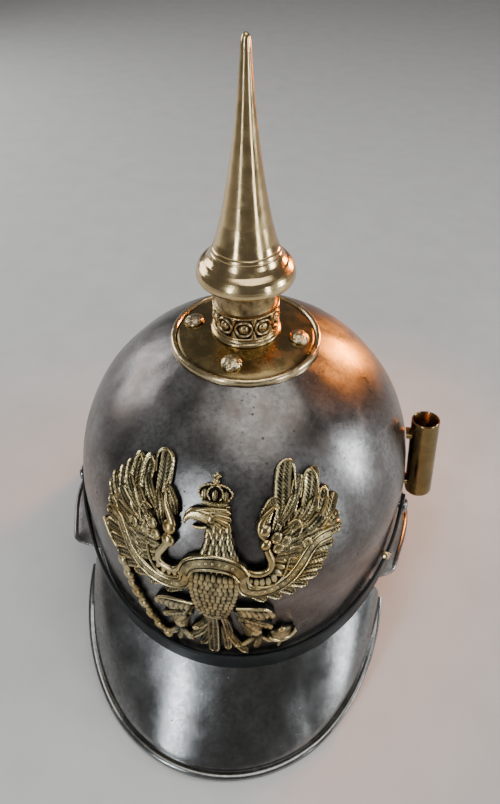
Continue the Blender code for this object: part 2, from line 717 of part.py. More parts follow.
# One row for each feather of the wing on the right:
# root u, root v, tip u, tip v, width, bend to the left of its run, level of its edge, level of its ridge
WING = (
    (24, 44, 27, 74, 7.5, -2.5, 0.30, 0.90),
    (27, 42, 39, 68, 7.5, -3.5, 0.15, 0.80),
    (30, 40, 47, 60, 7.0, -3.0, 0.10, 0.75),
    (31, 37, 53, 52, 7.0, -2.5, 0.05, 0.70),
    (31, 33, 56, 42, 7.5, -1.5, 0.05, 0.70),
    (30, 29, 54, 31, 7.0, 1.0, 0.05, 0.70),
    (27, 25, 49, 21, 6.5, 2.5, 0.05, 0.70),
    (20, 22, 41, 13, 6.5, 3.0, 0.05, 0.65),
    (13, 20, 31, 10, 6.0, 2.0, 0.05, 0.60),
    (18, 45, 27, 59, 8.0, -2.0, 0.60, 1.00),
    (21, 36, 38, 46, 11.0, -2.0, 0.50, 1.00),
    (17, 41, 25, 46, 7.0, 0.0, 0.70, 1.20),
    (21, 26, 40, 38, 10.0, 2.0, 0.50, 0.95),
)
# The same columns for body, neck, head, beak, crown, legs, claws, tail, sceptre and orb
BODY = (
    (0, 2, 0, 30, 26.0, 0.0, 0.55, 1.20),
    (1, 22, 1, 54, 14.0, -1.5, 0.55, 1.30),
    (5, 50, -5, 53, 13.0, 1.0, 0.65, 1.40),
    (-3, 54, -13, 50, 6.0, -2.0, 0.50, 1.10),
    (-2, 57, -2, 68, 14.0, 0.0, 0.50, 1.20),
    (-2, 64, -2, 72, 4.5, 0.0, 0.50, 1.00),
    (-8, 7, -22, -22, 17.0, 7.0, 0.45, 1.20),
    (8, 7, 19, -22, 17.0, -7.0, 0.45, 1.20),
    (-17, -16, -15, -34, 7.0, 0.0, 0.30, 0.90),
    (-22, -18, -34, -34, 7.0, 1.0, 0.30, 0.90),
    (18, -16, 13, -35, 7.0, 0.0, 0.30, 0.90),
    (20, -17, 30, -30, 7.0, -1.0, 0.30, 0.90),
    (-1, 8, -2, -44, 8.0, 0.0, 0.40, 0.95),
    (-2, -4, -11, -38, 7.0, 3.0, 0.25, 0.85),
    (1, -4, 8, -40, 7.0, -3.0, 0.25, 0.85),
    (24, -26, 36, -26, 13.0, 0.0, 0.50, 1.30),
    (-50, 14, -35, -38, 7.5, 3.0, 0.40, 1.10),
)
# Ribbon on the right half: centre u, centre v, width
RIBBON = ((0, 31, 8), (7, 30, 8), (12, 25, 8), (19, 20, 8), (28, 18, 8), (38, 23, 8), (47, 32, 8),
          (54, 39, 7))
RIBBON_LEVEL = 1.20
EAGLE_GRID = 10.5


def feather(row, mirror=1):
    """Outline, ridge line and levels of one feather, in parts."""
    u0, v0, u1, v1, width, bend, edge, ridge = row
    root, tip = np.array((u0 * mirror, v0), float), np.array((u1 * mirror, v1), float)
    run = tip - root
    side = np.array((-run[1], run[0])) / np.linalg.norm(run)
    bend *= mirror
    shares = (0.0, 0.30, 0.62, 0.88)
    halves = (0.36, 0.46, 0.50, 0.34)
    spine = [root + run * t + side * bend * math.sin(math.pi * t) for t in shares]
    left = [p + side * width * h for p, h in zip(spine, halves)]
    right = [p - side * width * h for p, h in zip(spine, halves)]
    blunt = side * width * 0.15
    outline = left + [tip + blunt, tip - blunt] + right[::-1]
    return np.array(outline), np.array(spine[1:]), edge, ridge


def ribbon_outline(mirror):
    """Band along the ribbon's middle line on one side."""
    line = np.array([(u * mirror, v) for u, v, _ in RIBBON], float)
    steps = np.gradient(line, axis=0)
    steps /= np.linalg.norm(steps, axis=1, keepdims=True)
    side = np.stack([-steps[:, 1], steps[:, 0]], axis=1)
    half = np.array([row[2] / 2 for row in RIBBON])[:, None]
    return np.concatenate([line + side * half, (line - side * half)[::-1]])


def inside_outline(point, outline):
    """True where a point lies inside a closed outline."""
    x, y = point
    within = False
    for (x0, y0), (x1, y1) in zip(outline, np.roll(outline, -1, axis=0)):
        if (y0 > y) != (y1 > y) and x < x0 + (y - y0) * (x1 - x0) / (y1 - y0):
            within = not within
    return within


def make_eagle(parent, brass):
    """Heraldic eagle in low relief, open between the wings, neck, legs and tail."""
    forms = []
    for mirror in (1, -1):
        forms += [feather(row, mirror) for row in WING]
        forms.append((ribbon_outline(mirror), np.empty((0, 2)), RIBBON_LEVEL, RIBBON_LEVEL))
    forms += [feather(row) for row in BODY]

    def is_covered(point):
        return any(inside_outline(point, form[0]) for form in forms)

    def relief(point):
        best = 0.0
        for outline, spine, edge, ridge in forms:
            near = np.min(np.linalg.norm(outline - point, axis=1)) < 0.05
            if near or inside_outline(point, outline):
                rise = edge
                if len(spine) and np.min(np.linalg.norm(spine - point, axis=1)) < 0.6:
                    rise = ridge
                best = max(best, rise)
        return best

    coords, edges = [], []
    for outline, spine, _, _ in forms:
        first = len(coords)
        coords += [Vector(p) for p in outline]
        edges += [(first + i, first + (i + 1) % len(outline)) for i in range(len(outline))]
        first = len(coords)
        coords += [Vector(p) for p in spine]
        edges += [(first + i, first + i + 1) for i in range(len(spine) - 1)]
    flat = flat_faces(coords, edges, is_covered)
    rim = boundary_loops(flat[1])
    under = under_faces(flat[0], rim, is_covered)

    part = EAGLE_HEIGHT / EAGLE_PARTS
    bm = bmesh.new()

    def place(point, rise):
        return bm.verts.new(on_skull(point[0] * part + EAGLE_MIDDLE, point[1] * part, EAGLE_SEAT + rise))

    upper = {i: place(flat[0][i], EAGLE_BACK + RELIEF * relief(np.array(flat[0][i])))
             for face in flat[1] for i in face}
    lower_of_rim = {i: place(flat[0][i], 0.0) for loop in rim for i in loop}
    lower = {}
    for i, point in enumerate(under[0]):
        lower[i] = lower_of_rim[under[2][i]] if i in under[2] else place(point, 0.0)
    for face in flat[1]:
        bm.faces.new([upper[i] for i in face])
    for face in under[1]:
        bm.faces.new([lower[i] for i in reversed(face)])
    for loop in rim:
        for a, b in zip(loop, loop[1:] + loop[:1]):
            bm.faces.new((upper[b], upper[a], lower_of_rim[a], lower_of_rim[b]))
    for vert in [v for v in bm.verts if not v.link_faces]:
        bm.verts.remove(vert)
    return add_object("eagle_plate", bm, brass, parent, smooth_angle=25)


def flat_faces(coords, edges, is_covered):
    """Triangles of the drawing that lie under at least one form."""
    verts, _, faces, _, _, _ = delaunay_2d_cdt(coords, edges, [], 0, 0.12)
    keep = []
    for face in faces:
        middle = sum((verts[i] for i in face), Vector((0, 0))) / len(face)
        if is_covered((middle.x, middle.y)):
            keep.append(tuple(face))
    return verts, keep


def boundary_loops(faces):
    """Outer and inner outlines of a set of triangles, as lists of points in order."""
    directed = {(a, b) for face in faces for a, b in zip(face, face[1:] + face[:1])}
    following = {a: b for a, b in directed if (b, a) not in directed}
    loops = []
    while following:
        start, here = next(iter(following.items()))
        loop = [start]
        del following[start]
        while here != start:
            loop.append(here)
            here = following.pop(here)
        loops.append(loop)
    return loops


def under_faces(verts, rim, is_covered):
    """Plain back of the plate: the same outline with a coarse net of points inside it."""
    coords, edges, twins = [], [], {}
    for loop in rim:
        first = len(coords)
        for i in loop:
            coords.append(verts[i])
        edges += [(first + k, first + (k + 1) % len(loop)) for k in range(len(loop))]
    known = [i for loop in rim for i in loop]
    us = [p.x for p in coords]
    vs = [p.y for p in coords]
    v, row = min(vs), 0
    while v < max(vs):
        u = min(us) + (row % 2) * EAGLE_GRID / 2
        while u < max(us):
            clear = min((p - Vector((u, v))).length for p in coords[:len(known)])
            if clear > EAGLE_GRID * 0.4 and is_covered((u, v)):
                coords.append(Vector((u, v)))
            u += EAGLE_GRID
        v += EAGLE_GRID * 0.87
        row += 1
    points, _, faces, sources, _, _ = delaunay_2d_cdt(coords, edges, [], 0, 1e-5)
    for i, source in enumerate(sources):
        for old in source:
            if old < len(known):
                twins[i] = known[old]
    keep = []
    for face in faces:
        middle = sum((points[i] for i in face), Vector((0, 0))) / len(face)
        if is_covered((middle.x, middle.y)):
            keep.append(tuple(face))
    return points, keep, twins


def stand_on_origin(parent):
    """Move the helmet so that the bottom centre of its box is the origin."""
    bpy.context.view_layer.update()
    graph = bpy.context.evaluated_depsgraph_get()
    low, high = np.full(3, 1e9), np.full(3, -1e9)
    for obj in bpy.data.objects:
        if obj.type != "MESH" or obj.hide_render:
            continue
        held = obj.evaluated_get(graph)
        mesh = held.to_mesh()
        for vert in mesh.vertices:
            spot = np.array(held.matrix_world @ vert.co)
            low, high = np.minimum(low, spot), np.maximum(high, spot)
        held.to_mesh_clear()
    parent.location = (-(low[0] + high[0]) / 2, -(low[1] + high[1]) / 2, -low[2])
    bpy.context.view_layer.update()


def build():
    """Make every piece and set the helmet on the origin."""
    for obj in list(bpy.data.objects):
        bpy.data.objects.remove(obj, do_unlink=True)
    steel = material("skull_steel", (0.17, 0.165, 0.16), 1.0, 0.38)
    bright_steel = material("visor_steel", (0.30, 0.31, 0.32), 1.0, 0.34)
    brass = material("brass", (0.62, 0.44, 0.20), 1.0, 0.28)
    dull_brass = material("dull_brass", (0.40, 0.31, 0.14), 1.0, 0.42)
    leather = material("black_leather", (0.020, 0.026, 0.028), 0.0, 0.45)
    helmet = bpy.data.objects.new("helmet", None)
    bpy.context.collection.objects.link(helmet)
    skull = make_skull(helmet, steel)
    make_visor(helmet, bright_steel)
    plate = make_base_plate(helmet, dull_brass)
    make_rivets(helmet, brass, plate, skull)
    make_neck(helmet, brass)
    make_spike(helmet, brass)
    make_eagle(helmet, brass)
    make_tube(helmet, dull_brass)
    strap = make_strap(helmet, leather)
    make_posts(helmet, bright_steel, skull, strap)
    make_slide(helmet, brass)
    stand_on_origin(helmet)


build()
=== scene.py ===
"""Spiked steel helmet with brass fittings: the shown piece and finish of every part of it.

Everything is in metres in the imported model's frame: +Z up, the helmet's front facing -Y.
Azimuths are measured from the front round the spike's axis, positive towards +X.
"""
import math

import bmesh
import bpy
import numpy as np
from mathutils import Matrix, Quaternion, Vector


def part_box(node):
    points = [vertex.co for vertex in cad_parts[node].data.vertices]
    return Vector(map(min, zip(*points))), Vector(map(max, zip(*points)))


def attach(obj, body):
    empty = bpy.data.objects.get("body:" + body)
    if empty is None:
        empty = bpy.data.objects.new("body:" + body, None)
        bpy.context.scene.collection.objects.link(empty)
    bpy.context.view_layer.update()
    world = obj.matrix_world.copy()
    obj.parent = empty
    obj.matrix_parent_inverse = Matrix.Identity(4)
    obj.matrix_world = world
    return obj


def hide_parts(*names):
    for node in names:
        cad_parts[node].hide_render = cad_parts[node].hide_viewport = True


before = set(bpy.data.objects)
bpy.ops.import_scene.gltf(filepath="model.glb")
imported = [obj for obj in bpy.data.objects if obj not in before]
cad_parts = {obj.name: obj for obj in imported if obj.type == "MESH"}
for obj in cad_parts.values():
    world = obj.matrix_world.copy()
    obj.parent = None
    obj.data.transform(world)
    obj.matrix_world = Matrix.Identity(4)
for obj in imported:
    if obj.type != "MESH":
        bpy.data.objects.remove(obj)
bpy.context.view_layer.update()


# Skull: one bowl of sheet steel about 1 mm thick, raised and planished by hand, with the neck guard
# drawn out of the same sheet and its edge rolled over. The old steel is satin grey, with brown
# stains, fine scratches and small dark pits.

SKULL_HALF_WIDTH = 0.0935
SKULL_FRONT = 0.105  # spike axis to the brow
SKULL_BACK = 0.096
SKULL_WALL = 0.0012
DOME_RISE = 0.087
BROW_HEIGHT = 0.036  # root of the visor above the table
WIDEST = BROW_HEIGHT + 0.0625
GUARD_REACH = 0.0426
GUARD_BEAD = 0.0016
GUARD_START = math.radians(57)
GUARD_LEVEL = math.radians(155)
EAR_TURN = math.radians(9)
EAR_REACH = 0.0116
EAR_HEIGHT = 0.0465
EAR_END = math.radians(72)
GUARD_SKEW = 0.0038
FLARE_TOP = 0.014
BROW_TUCK = 0.0015  # how far the bowl's front edge hangs below the visor's root
PLANISHING = 0.00007  # depth of the hammer's waves
MEAN_RADIUS = 0.095  # turns a dent's azimuth into a distance along the wall
# columns: azimuth in degrees, height, reach, depth
DENTS = (
    (64, 0.142, 0.016, 0.0007), (84, 0.117, 0.014, 0.0006),
    (-38, 0.158, 0.013, 0.0004), (150, 0.120, 0.018, 0.0005),
)

spike_low, spike_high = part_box("spike")
AXIS = Vector(((spike_low.x + spike_high.x) / 2, (spike_low.y + spike_high.y) / 2, 0.0))


def put(tree, kind, sockets, **settings):
    """Add a shader node; a socket takes a number, a colour or another node's output."""
    made = tree.nodes.new(kind)
    for name, value in settings.items():
        setattr(made, name, value)
    for name, value in sockets.items():
        if isinstance(value, bpy.types.NodeSocket):
            tree.links.new(value, made.inputs[name])
        else:
            made.inputs[name].default_value = value
    return made


def noise(tree, place, scale, detail=4.0, stretch=(1, 1, 1), rough=0.55, twist=0.0):
    """Grey noise; scale is in waves to the metre, and stretch shortens it along each axis."""
    spread = put(tree, "ShaderNodeMapping", {"Vector": place, "Scale": stretch})
    made = put(tree, "ShaderNodeTexNoise", {"Vector": spread.outputs[0], "Scale": scale, "Detail": detail,
                                            "Roughness": rough, "Distortion": twist})
    return made.outputs[0]


def between(tree, value, low, high, out_low=0.0, out_high=1.0):
    """The value's run from low to high, laid over another range."""
    return put(tree, "ShaderNodeMapRange", {"Value": value, "From Min": low, "From Max": high,
                                            "To Min": out_low, "To Max": out_high}).outputs[0]


def mix(tree, share, first, second):
    """Colour between two colours."""
    return put(tree, "ShaderNodeMixRGB", {"Fac": share, "Color1": first, "Color2": second}).outputs[0]


def reckon(tree, operation, first, second):
    """Sum, product or the like of two values."""
    return put(tree, "ShaderNodeMath", {0: first, 1: second}, operation=operation).outputs[0]


def bump(tree, height, distance, strength=1.0, over=None):
    """Surface normal from a height in metres times distance, laid over another if there is one."""
    sockets = {"Height": height, "Distance": distance, "Strength": strength}
    if over:
        sockets["Normal"] = over
    return put(tree, "ShaderNodeBump", sockets).outputs[0]


def new_finish(name, colour, metallic, roughness):
    """A Principled material; returns it with its nodes, its shader and the object's coordinates."""
    mat = bpy.data.materials.new(name)
    mat.use_nodes = True
    tree = mat.node_tree
    shader = tree.nodes["Principled BSDF"]
    shader.inputs["Base Color"].default_value = (*colour, 1)
    shader.inputs["Metallic"].default_value = metallic
    shader.inputs["Roughness"].default_value = roughness
    return mat, tree, shader, tree.nodes.new("ShaderNodeTexCoord").outputs["Object"]


def steel(name, colour, stain, roughness, stained, grained, pitted):
    """Old steel: stains, fine mottling, crossing scratches and pits that are dark and sunk."""
    mat, tree, shader, place = new_finish(name, colour, 1.0, roughness)
    clouds = noise(tree, place, 24, 6, rough=0.6, twist=0.4)
    specks = noise(tree, place, 420, 5, rough=0.7)
    tone = mix(tree, between(tree, clouds, 0.40, 0.66, 0.0, stained), (*colour, 1), (*stain, 1))
    mottles = between(tree, noise(tree, place, 75, 7, rough=0.72), 0.50, 0.66, 0.0, 0.75)
    stains = reckon(tree, "MULTIPLY", mottles, between(tree, clouds, 0.40, 0.60))
    tone = mix(tree, stains, tone, (*stain, 1))
    dusk = tuple(0.42 * part for part in colour)
    tone = mix(tree, between(tree, specks, 0.42, 0.66, 0.0, grained), tone, (*dusk, 1))
    pits = 0.0
    for across, rarity, low, high in ((150, 38, 0.05, 0.14), (330, 55, 0.08, 0.20)):
        cells = put(tree, "ShaderNodeTexVoronoi", {"Vector": place, "Scale": across, "Randomness": 1.0})
        patches = between(tree, noise(tree, place, rarity, 3), 0.53, 0.66)
        spot = between(tree, cells.outputs["Distance"], low, high, pitted, 0.0)
        pits = reckon(tree, "MAXIMUM", reckon(tree, "MULTIPLY", spot, patches), pits)
    tone = mix(tree, pits, tone, (0.012, 0.010, 0.009, 1))
    tree.links.new(tone, shader.inputs["Base Color"])
    wear = between(tree, noise(tree, place, 60, 5), 0.3, 0.7, roughness - 0.05, roughness + 0.10)
    wear = reckon(tree, "ADD", wear, reckon(tree, "MULTIPLY", pits, 0.3))
    tree.links.new(wear, shader.inputs["Roughness"])
    scratches = noise(tree, place, 260, 3, stretch=(1, 1, 14), rough=0.6)
    grain = bump(tree, scratches, 0.00003)
    grain = bump(tree, specks, 0.00005, over=grain)
    sunk = bump(tree, pits, -0.00008, over=grain)
    tree.links.new(sunk, shader.inputs["Normal"])
    return mat


def skin(grid, wrap_rows=False, wrap_columns=False):
    """Quads over a grid of points; points that meet, such as those of a pole, are joined."""
    rows, columns = len(grid), len(grid[0])
    bm = bmesh.new()
    verts = [[bm.verts.new(point) for point in row] for row in grid]
    for i in range(rows if wrap_rows else rows - 1):
        for j in range(columns if wrap_columns else columns - 1):
            k, n = (i + 1) % rows, (j + 1) % columns
            bm.faces.new((verts[i][j], verts[i][n], verts[k][n], verts[k][j]))
    bmesh.ops.remove_doubles(bm, verts=bm.verts, dist=1e-6)
    return bm


def show(name, bm, mat, sharp=40):
    """Make the mesh a smooth-shaded object that stands on the spike's axis."""
    bmesh.ops.recalc_face_normals(bm, faces=bm.faces)
    mesh = bpy.data.meshes.new(name)
    bm.to_mesh(mesh)
    bm.free()
    mesh.materials.append(mat)
    mesh.shade_smooth()
    mesh.set_sharp_from_angle(angle=math.radians(sharp))
    piece = bpy.data.objects.new(name, mesh)
    piece.location = AXIS
    bpy.context.collection.objects.link(piece)
    return piece


def smooth_step(value):
    """0 below 0, 1 above 1, and a smooth climb between."""
    value = min(1.0, max(0.0, value))
    return value * value * (3.0 - 2.0 * value)


def skull_length(azimuth):
    """Half-length of the skull on the side that the azimuth points to."""
    return SKULL_FRONT if math.cos(azimuth) > 0 else SKULL_BACK


def skull_radius(azimuth):
    """Distance from the spike's axis to the wall at the widest level."""
    across = math.sin(azimuth) / SKULL_HALF_WIDTH
    return 1.0 / math.hypot(across, math.cos(azimuth) / skull_length(azimuth))


def level_share(height):
    """How much narrower the skull is at a height than at its widest level."""
    return math.sqrt(max(0.0, 1.0 - (max(0.0, height - WIDEST) / DOME_RISE) ** 2))


def wall_normal(azimuth):
    """Horizontal outward direction of the wall."""
    return Vector((math.sin(azimuth) / SKULL_HALF_WIDTH ** 2,
                   -math.cos(azimuth) / skull_length(azimuth) ** 2, 0.0)).normalized()


def wall_point(azimuth, height, offset=0.0):
    """A point at a horizontal distance outside the skull's wall."""
    radius = skull_radius(azimuth) * level_share(height)
    spot = Vector((radius * math.sin(azimuth), -radius * math.cos(azimuth), height))
    return spot + wall_normal(azimuth) * offset


def edge_height(azimuth):
    """Height of the middle of the rolled edge."""
    turn = abs(azimuth)
    if turn <= GUARD_START:
        brow = BROW_HEIGHT - BROW_TUCK
        return brow + (EAR_HEIGHT - brow) * (turn / GUARD_START) ** 2
    fall = smooth_step((turn - EAR_END) / (GUARD_LEVEL - EAR_END))
    return EAR_HEIGHT + (GUARD_BEAD - EAR_HEIGHT) * fall


def edge_reach(azimuth):
    """How far the rolled edge stands out beyond the wall."""
    turn = abs(azimuth)
    ear = smooth_step((turn - GUARD_START) / EAR_TURN)
    nape = max(0.0, (turn - EAR_END) / (math.pi - EAR_END)) ** 1.2
    return (EAR_REACH - GUARD_SKEW * math.sin(azimuth)) * ear + (GUARD_REACH - EAR_REACH) * nape


def hammered(azimuth, height):
    """Shallow waves that the hammer left in the sheet."""
    waves = math.sin(9 * azimuth + 70 * height) + math.sin(5 * azimuth - 120 * height + 1.3)
    sunk = 0.0
    for turn, level, reach, depth in DENTS:
        along = (azimuth - math.radians(turn)) * MEAN_RADIUS
        sunk += depth * math.exp(-(along ** 2 + (height - level) ** 2) / reach ** 2)
    return PLANISHING * (waves + math.sin(17 * azimuth + 45 * height + 0.6)) - sunk


def skull_section(azimuth):
    """Closed profile of the shell, as (radius, height), from the crown outside to the crown inside."""
    radius, low, reach = skull_radius(azimuth), edge_height(azimuth), edge_reach(azimuth)
    outer = []
    for i in range(41):
        rise = math.pi / 2 * (1 - i / 41)
        outer.append((radius * math.cos(rise), WIDEST + DOME_RISE * math.sin(rise)))
    top = WIDEST - FLARE_TOP
    knee = low + 0.35 * (top - low)
    for i in range(27):
        t = i / 26
        height = (1 - t) ** 2 * top + 2 * t * (1 - t) * knee + t ** 2 * low
        outer.append((radius + reach * (0.10 * t * (1 - t) + t ** 3), height))
    outer = np.array(outer)
    steps = np.gradient(outer, axis=0)
    steps /= np.linalg.norm(steps, axis=1, keepdims=True)
    inward = np.stack([steps[:, 1], -steps[:, 0]], axis=1)
    calm = [min(1.0, r / 0.03, (z - low) / 0.01) for r, z in outer]
    waves = np.array([hammered(azimuth, z) * c for (r, z), c in zip(outer, calm)])[:, None]
    outer[1:] -= (inward * waves)[1:]
    inner = outer + inward * SKULL_WALL
    inner[0] = (0.0, outer[0][1] - SKULL_WALL)
    middle = np.array(((outer[-1][0] + inner[-1][0]) / 2, low))
    share = smooth_step((abs(azimuth) - GUARD_START) / math.radians(12))
    bead = SKULL_WALL / 2 + (GUARD_BEAD - SKULL_WALL / 2) * share
    roll = [middle + bead * np.array((math.cos(a), math.sin(a)))
            for a in np.radians(np.arange(100, -191, -24))]
    return [*outer[:-1], *roll, *inner[:-1][::-1]]


skull_rings = []
for i in range(256):
    azimuth = -math.pi + 2 * math.pi * (i + 0.5) / 256
    skull_rings.append([(r * math.sin(azimuth), -r * math.cos(azimuth), z)
                        for r, z in skull_section(azimuth)])
skull_steel = steel("skull_steel", (0.250, 0.243, 0.236), (0.080, 0.057, 0.047), 0.28, 0.9, 0.8, 0.9)
skull_shell = show("skull_shell", skin(skull_rings, wrap_rows=True), skull_steel)
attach(skull_shell, "root")
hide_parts("skull")


# Visor: a forged peak of the same steel, brighter than the skull. Its upright flange lies on the
# brow under the strap, and its edge is rolled into a round rim with a groove along the inside.

VISOR_HALF_WIDTH = 0.087
VISOR_REACH = 0.1522
VISOR_REAR = 0.055
VISOR_INSET = 0.007
VISOR_WALL = 0.0012
VISOR_SWELL = 0.0016
VISOR_BEAD = 0.0021
VISOR_FLANGE = 0.0085
RIM_GROOVE = 0.0008  # depth of the groove inside the rim
VISOR_SIDE_RISE = 0.031
ROOT_SIDE_RISE = 0.014
ROOT_END = math.asin((VISOR_HALF_WIDTH - VISOR_INSET) / SKULL_HALF_WIDTH)
GAP = 0.0003


def root_height(azimuth):
    """Height of the visor's root on the brow."""
    return BROW_HEIGHT + ROOT_SIDE_RISE * (abs(azimuth) / ROOT_END) ** 2.2


def visor_section(share):
    """Closed loop of the visor at a share from -1, one rear corner, to 1, the other."""
    turn = share * math.pi / 2
    azimuth = math.atan2(SKULL_HALF_WIDTH * math.sin(share * ROOT_END),
                         SKULL_FRONT * math.cos(share * ROOT_END))
    climb = max(0.0, (abs(math.degrees(turn)) - 38.0) / 52.0) ** 1.35
    rim = Vector((VISOR_HALF_WIDTH * math.sin(turn),
                  -VISOR_REAR - (VISOR_REACH - VISOR_REAR) * math.cos(turn),
                  VISOR_BEAD + VISOR_SIDE_RISE * climb))
    inside = wall_point(azimuth, root_height(azimuth), GAP)
    outside = wall_point(azimuth, root_height(azimuth), GAP + VISOR_WALL)
    lift = Vector((0, 0, VISOR_FLANGE * (1.0 - 0.5 * abs(share) ** 3)))
    across = rim - outside
    side = Vector((across.x, across.y, 0.0)).normalized()
    slope = across.normalized()
    over = side.cross(Vector((0, 0, 1))).cross(slope).normalized()
    over = over if over.z > 0 else -over
    reach = across.length
    slant = math.atan2(-across.z, across.dot(side))
    loop = [inside + lift, outside + lift, outside + lift * 0.5, outside]
    upper = [i / 30 * (1 - 1.25 * VISOR_BEAD / reach) for i in range(1, 31)]
    for t in upper:
        groove = RIM_GROOVE * math.exp(-((1 - t) * reach / VISOR_BEAD - 1.55) ** 2 / 0.15)
        loop.append(outside + across * t + over * (VISOR_SWELL * math.sin(math.pi * t) - groove))
    for angle in range(150, -166, -21):
        a = math.radians(angle) - slant
        loop.append(rim + (side * math.cos(a) + Vector((0, 0, math.sin(a)))) * VISOR_BEAD)
    for t in upper[-4::-5]:
        loop.append(outside + across * t + over * (VISOR_SWELL * math.sin(math.pi * t) - VISOR_WALL))
    heel = VISOR_WALL * (math.tan(slant) - 1.0 / math.cos(slant))
    loop.append(inside + Vector((0, 0, heel)))
    return loop


visor_loops = [visor_section(-1 + 2 * i / 160) for i in range(161)]
visor_bm = skin(visor_loops, wrap_columns=True)
bmesh.ops.holes_fill(visor_bm, edges=[e for e in visor_bm.edges if e.is_boundary])
visor_steel = steel("visor_steel", (0.275, 0.277, 0.272), (0.17, 0.165, 0.155), 0.20, 0.4, 0.5, 0.6)
visor_peak = show("visor_peak", visor_bm, visor_steel)
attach(visor_peak, "root")
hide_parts("visor")


# Base plate: a round brass dish on the crown, with a raised, slightly hammered rim and a groove
# inside it. It is duller and more olive than the spike, and greener in the dish than on the rim.

PLATE_RADIUS = 0.0380
PLATE_WALL = 0.0010
PLATE_RIM_WIDTH = 0.0034
PLATE_RIM_RISE = 0.0032
SEAT = 0.0004


def dome_height(x, y):
    """Height of the dome's outer face over a point of its plan."""
    length = SKULL_FRONT if y < 0 else SKULL_BACK
    return WIDEST + DOME_RISE * math.sqrt(max(1.0 - (x / SKULL_HALF_WIDTH) ** 2 - (y / length) ** 2, 0.0))


def plate_top(radius):
    """Height of the plate's upper face inside its rim, the same all round."""
    return max(dome_height(0.0, -radius), dome_height(radius, 0.0)) + SEAT + PLATE_WALL


def brass(name, colour, tarnish, roughness, tarnished, hammer=0.0, beat=190):
    """Old brass: warm tarnish in patches, fine scratches round it and dull fingermarks."""
    mat, tree, shader, place = new_finish(name, colour, 1.0, roughness)
    patches = noise(tree, place, 70, 5, rough=0.6, twist=0.6)
    fine = noise(tree, place, 700, 4, rough=0.65)
    tone = mix(tree, between(tree, patches, 0.32, 0.76, 0.0, tarnished), (*colour, 1), (*tarnish, 1))
    dull = tuple(0.62 * part for part in colour)
    tone = mix(tree, between(tree, fine, 0.50, 0.78, 0.0, 0.5), tone, (*dull, 1))
    tree.links.new(tone, shader.inputs["Base Color"])
    wear = between(tree, noise(tree, place, 160, 4), 0.32, 0.70, roughness - 0.05, roughness + 0.11)
    tree.links.new(wear, shader.inputs["Roughness"])
    scratches = noise(tree, place, 500, 3, stretch=(1, 1, 9), rough=0.6)
    grain = bump(tree, scratches, 0.00002)
    if hammer:
        grain = bump(tree, noise(tree, place, beat, 1.5), hammer, over=grain)
    tree.links.new(grain, shader.inputs["Normal"])
    return mat


rim_top = dome_height(0.0, -PLATE_RADIUS) + PLATE_RIM_RISE
plate_edge = PLATE_RADIUS - PLATE_RIM_WIDTH
plate_rings = []
for i in range(192):
    azimuth = 2 * math.pi * i / 192
    beat = 0.00010 * (math.sin(23 * azimuth) + math.sin(37 * azimuth + 1.0) + math.sin(11 * azimuth + 2.0))
    dished = [(plate_edge * k / 24, plate_top(plate_edge * k / 24)) for k in range(24)]
    rim = [(plate_edge - 0.0002, plate_top(plate_edge)), (plate_edge + 0.0002, rim_top - 0.0012),
           (plate_edge + 0.0007, rim_top - 0.0004), (plate_edge + 0.0014, rim_top + beat * 0.5),
           (plate_edge + 0.0022, rim_top + beat * 0.5), (PLATE_RADIUS - 0.0005, rim_top - 0.0005),
           (PLATE_RADIUS + beat * 0.5 - 0.0001, rim_top - 0.0014), (PLATE_RADIUS, rim_top - 0.0022)]
    unders = [PLATE_RADIUS * k / 12 for k in range(12, -1, -1)]
    ring = [(r * math.sin(azimuth), -r * math.cos(azimuth), z) for r, z in dished + rim]
    for r in unders:
        x, y = r * math.sin(azimuth), -r * math.cos(azimuth)
        ring.append((x, y, dome_height(x, y) + SEAT))
    plate_rings.append(ring)
plate_brass = brass("plate_brass", (0.33, 0.24, 0.105), (0.25, 0.175, 0.075), 0.22, 0.7, hammer=0.00010)
tree = plate_brass.node_tree
shader = tree.nodes["Principled BSDF"]
place = tree.nodes.new("ShaderNodeTexCoord").outputs["Object"]
level_place = put(tree, "ShaderNodeVectorMath", {0: place, 1: (1, 1, 0)}, operation="MULTIPLY").outputs[0]
from_axis = put(tree, "ShaderNodeVectorMath", {0: level_place}, operation="LENGTH").outputs["Value"]
dished_tone = shader.inputs["Base Color"].links[0].from_socket
# the dish is made darker over its last 2 mm towards the foot of the rim
rim_foot_darkening = between(tree, from_axis, plate_edge - 0.0022, plate_edge - 0.0004, 0.0, 0.75)
dished_tone = mix(tree, rim_foot_darkening, dished_tone, (0.05, 0.035, 0.015, 1))
worn_rim = between(tree, from_axis, plate_edge - 0.0001, plate_edge + 0.0006)
rim_tone = mix(tree, noise(tree, place, 300, 3), (0.72, 0.58, 0.36, 1), (0.50, 0.37, 0.18, 1))
tree.links.new(mix(tree, worn_rim, dished_tone, rim_tone), shader.inputs["Base Color"])
base_dish = show("base_dish", skin(plate_rings, wrap_rows=True), plate_brass)
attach(base_dish, "root")
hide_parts("base_plate")


# Plate rivets: four brass rivets with broad, hand-hammered domed heads hold the plate on the skull.
# Each head is a little uneven.

RIVET_CIRCLE = 0.02701
RIVET_RADIUS = 0.0051
RIVET_HEIGHT = 0.0029
RIVET_SHANK = 0.0018
RIVET_DEPTH = 0.0042  # the shank's end below the plate
RIVET_TURN = math.radians(-7.1)


def turned(profile, sides, place=lambda point: point, wobble=lambda angle, row: 1.0):
    """A turned form: profile of (radius, height), each point put where place says."""
    grid = []
    for i in range(sides):
        a = 2 * math.pi * i / sides
        grid.append([place(Vector((r * wobble(a, k) * math.cos(a), r * wobble(a, k) * math.sin(a), z)))
                     for k, (r, z) in enumerate(profile)])
    return skin(grid, wrap_rows=True)


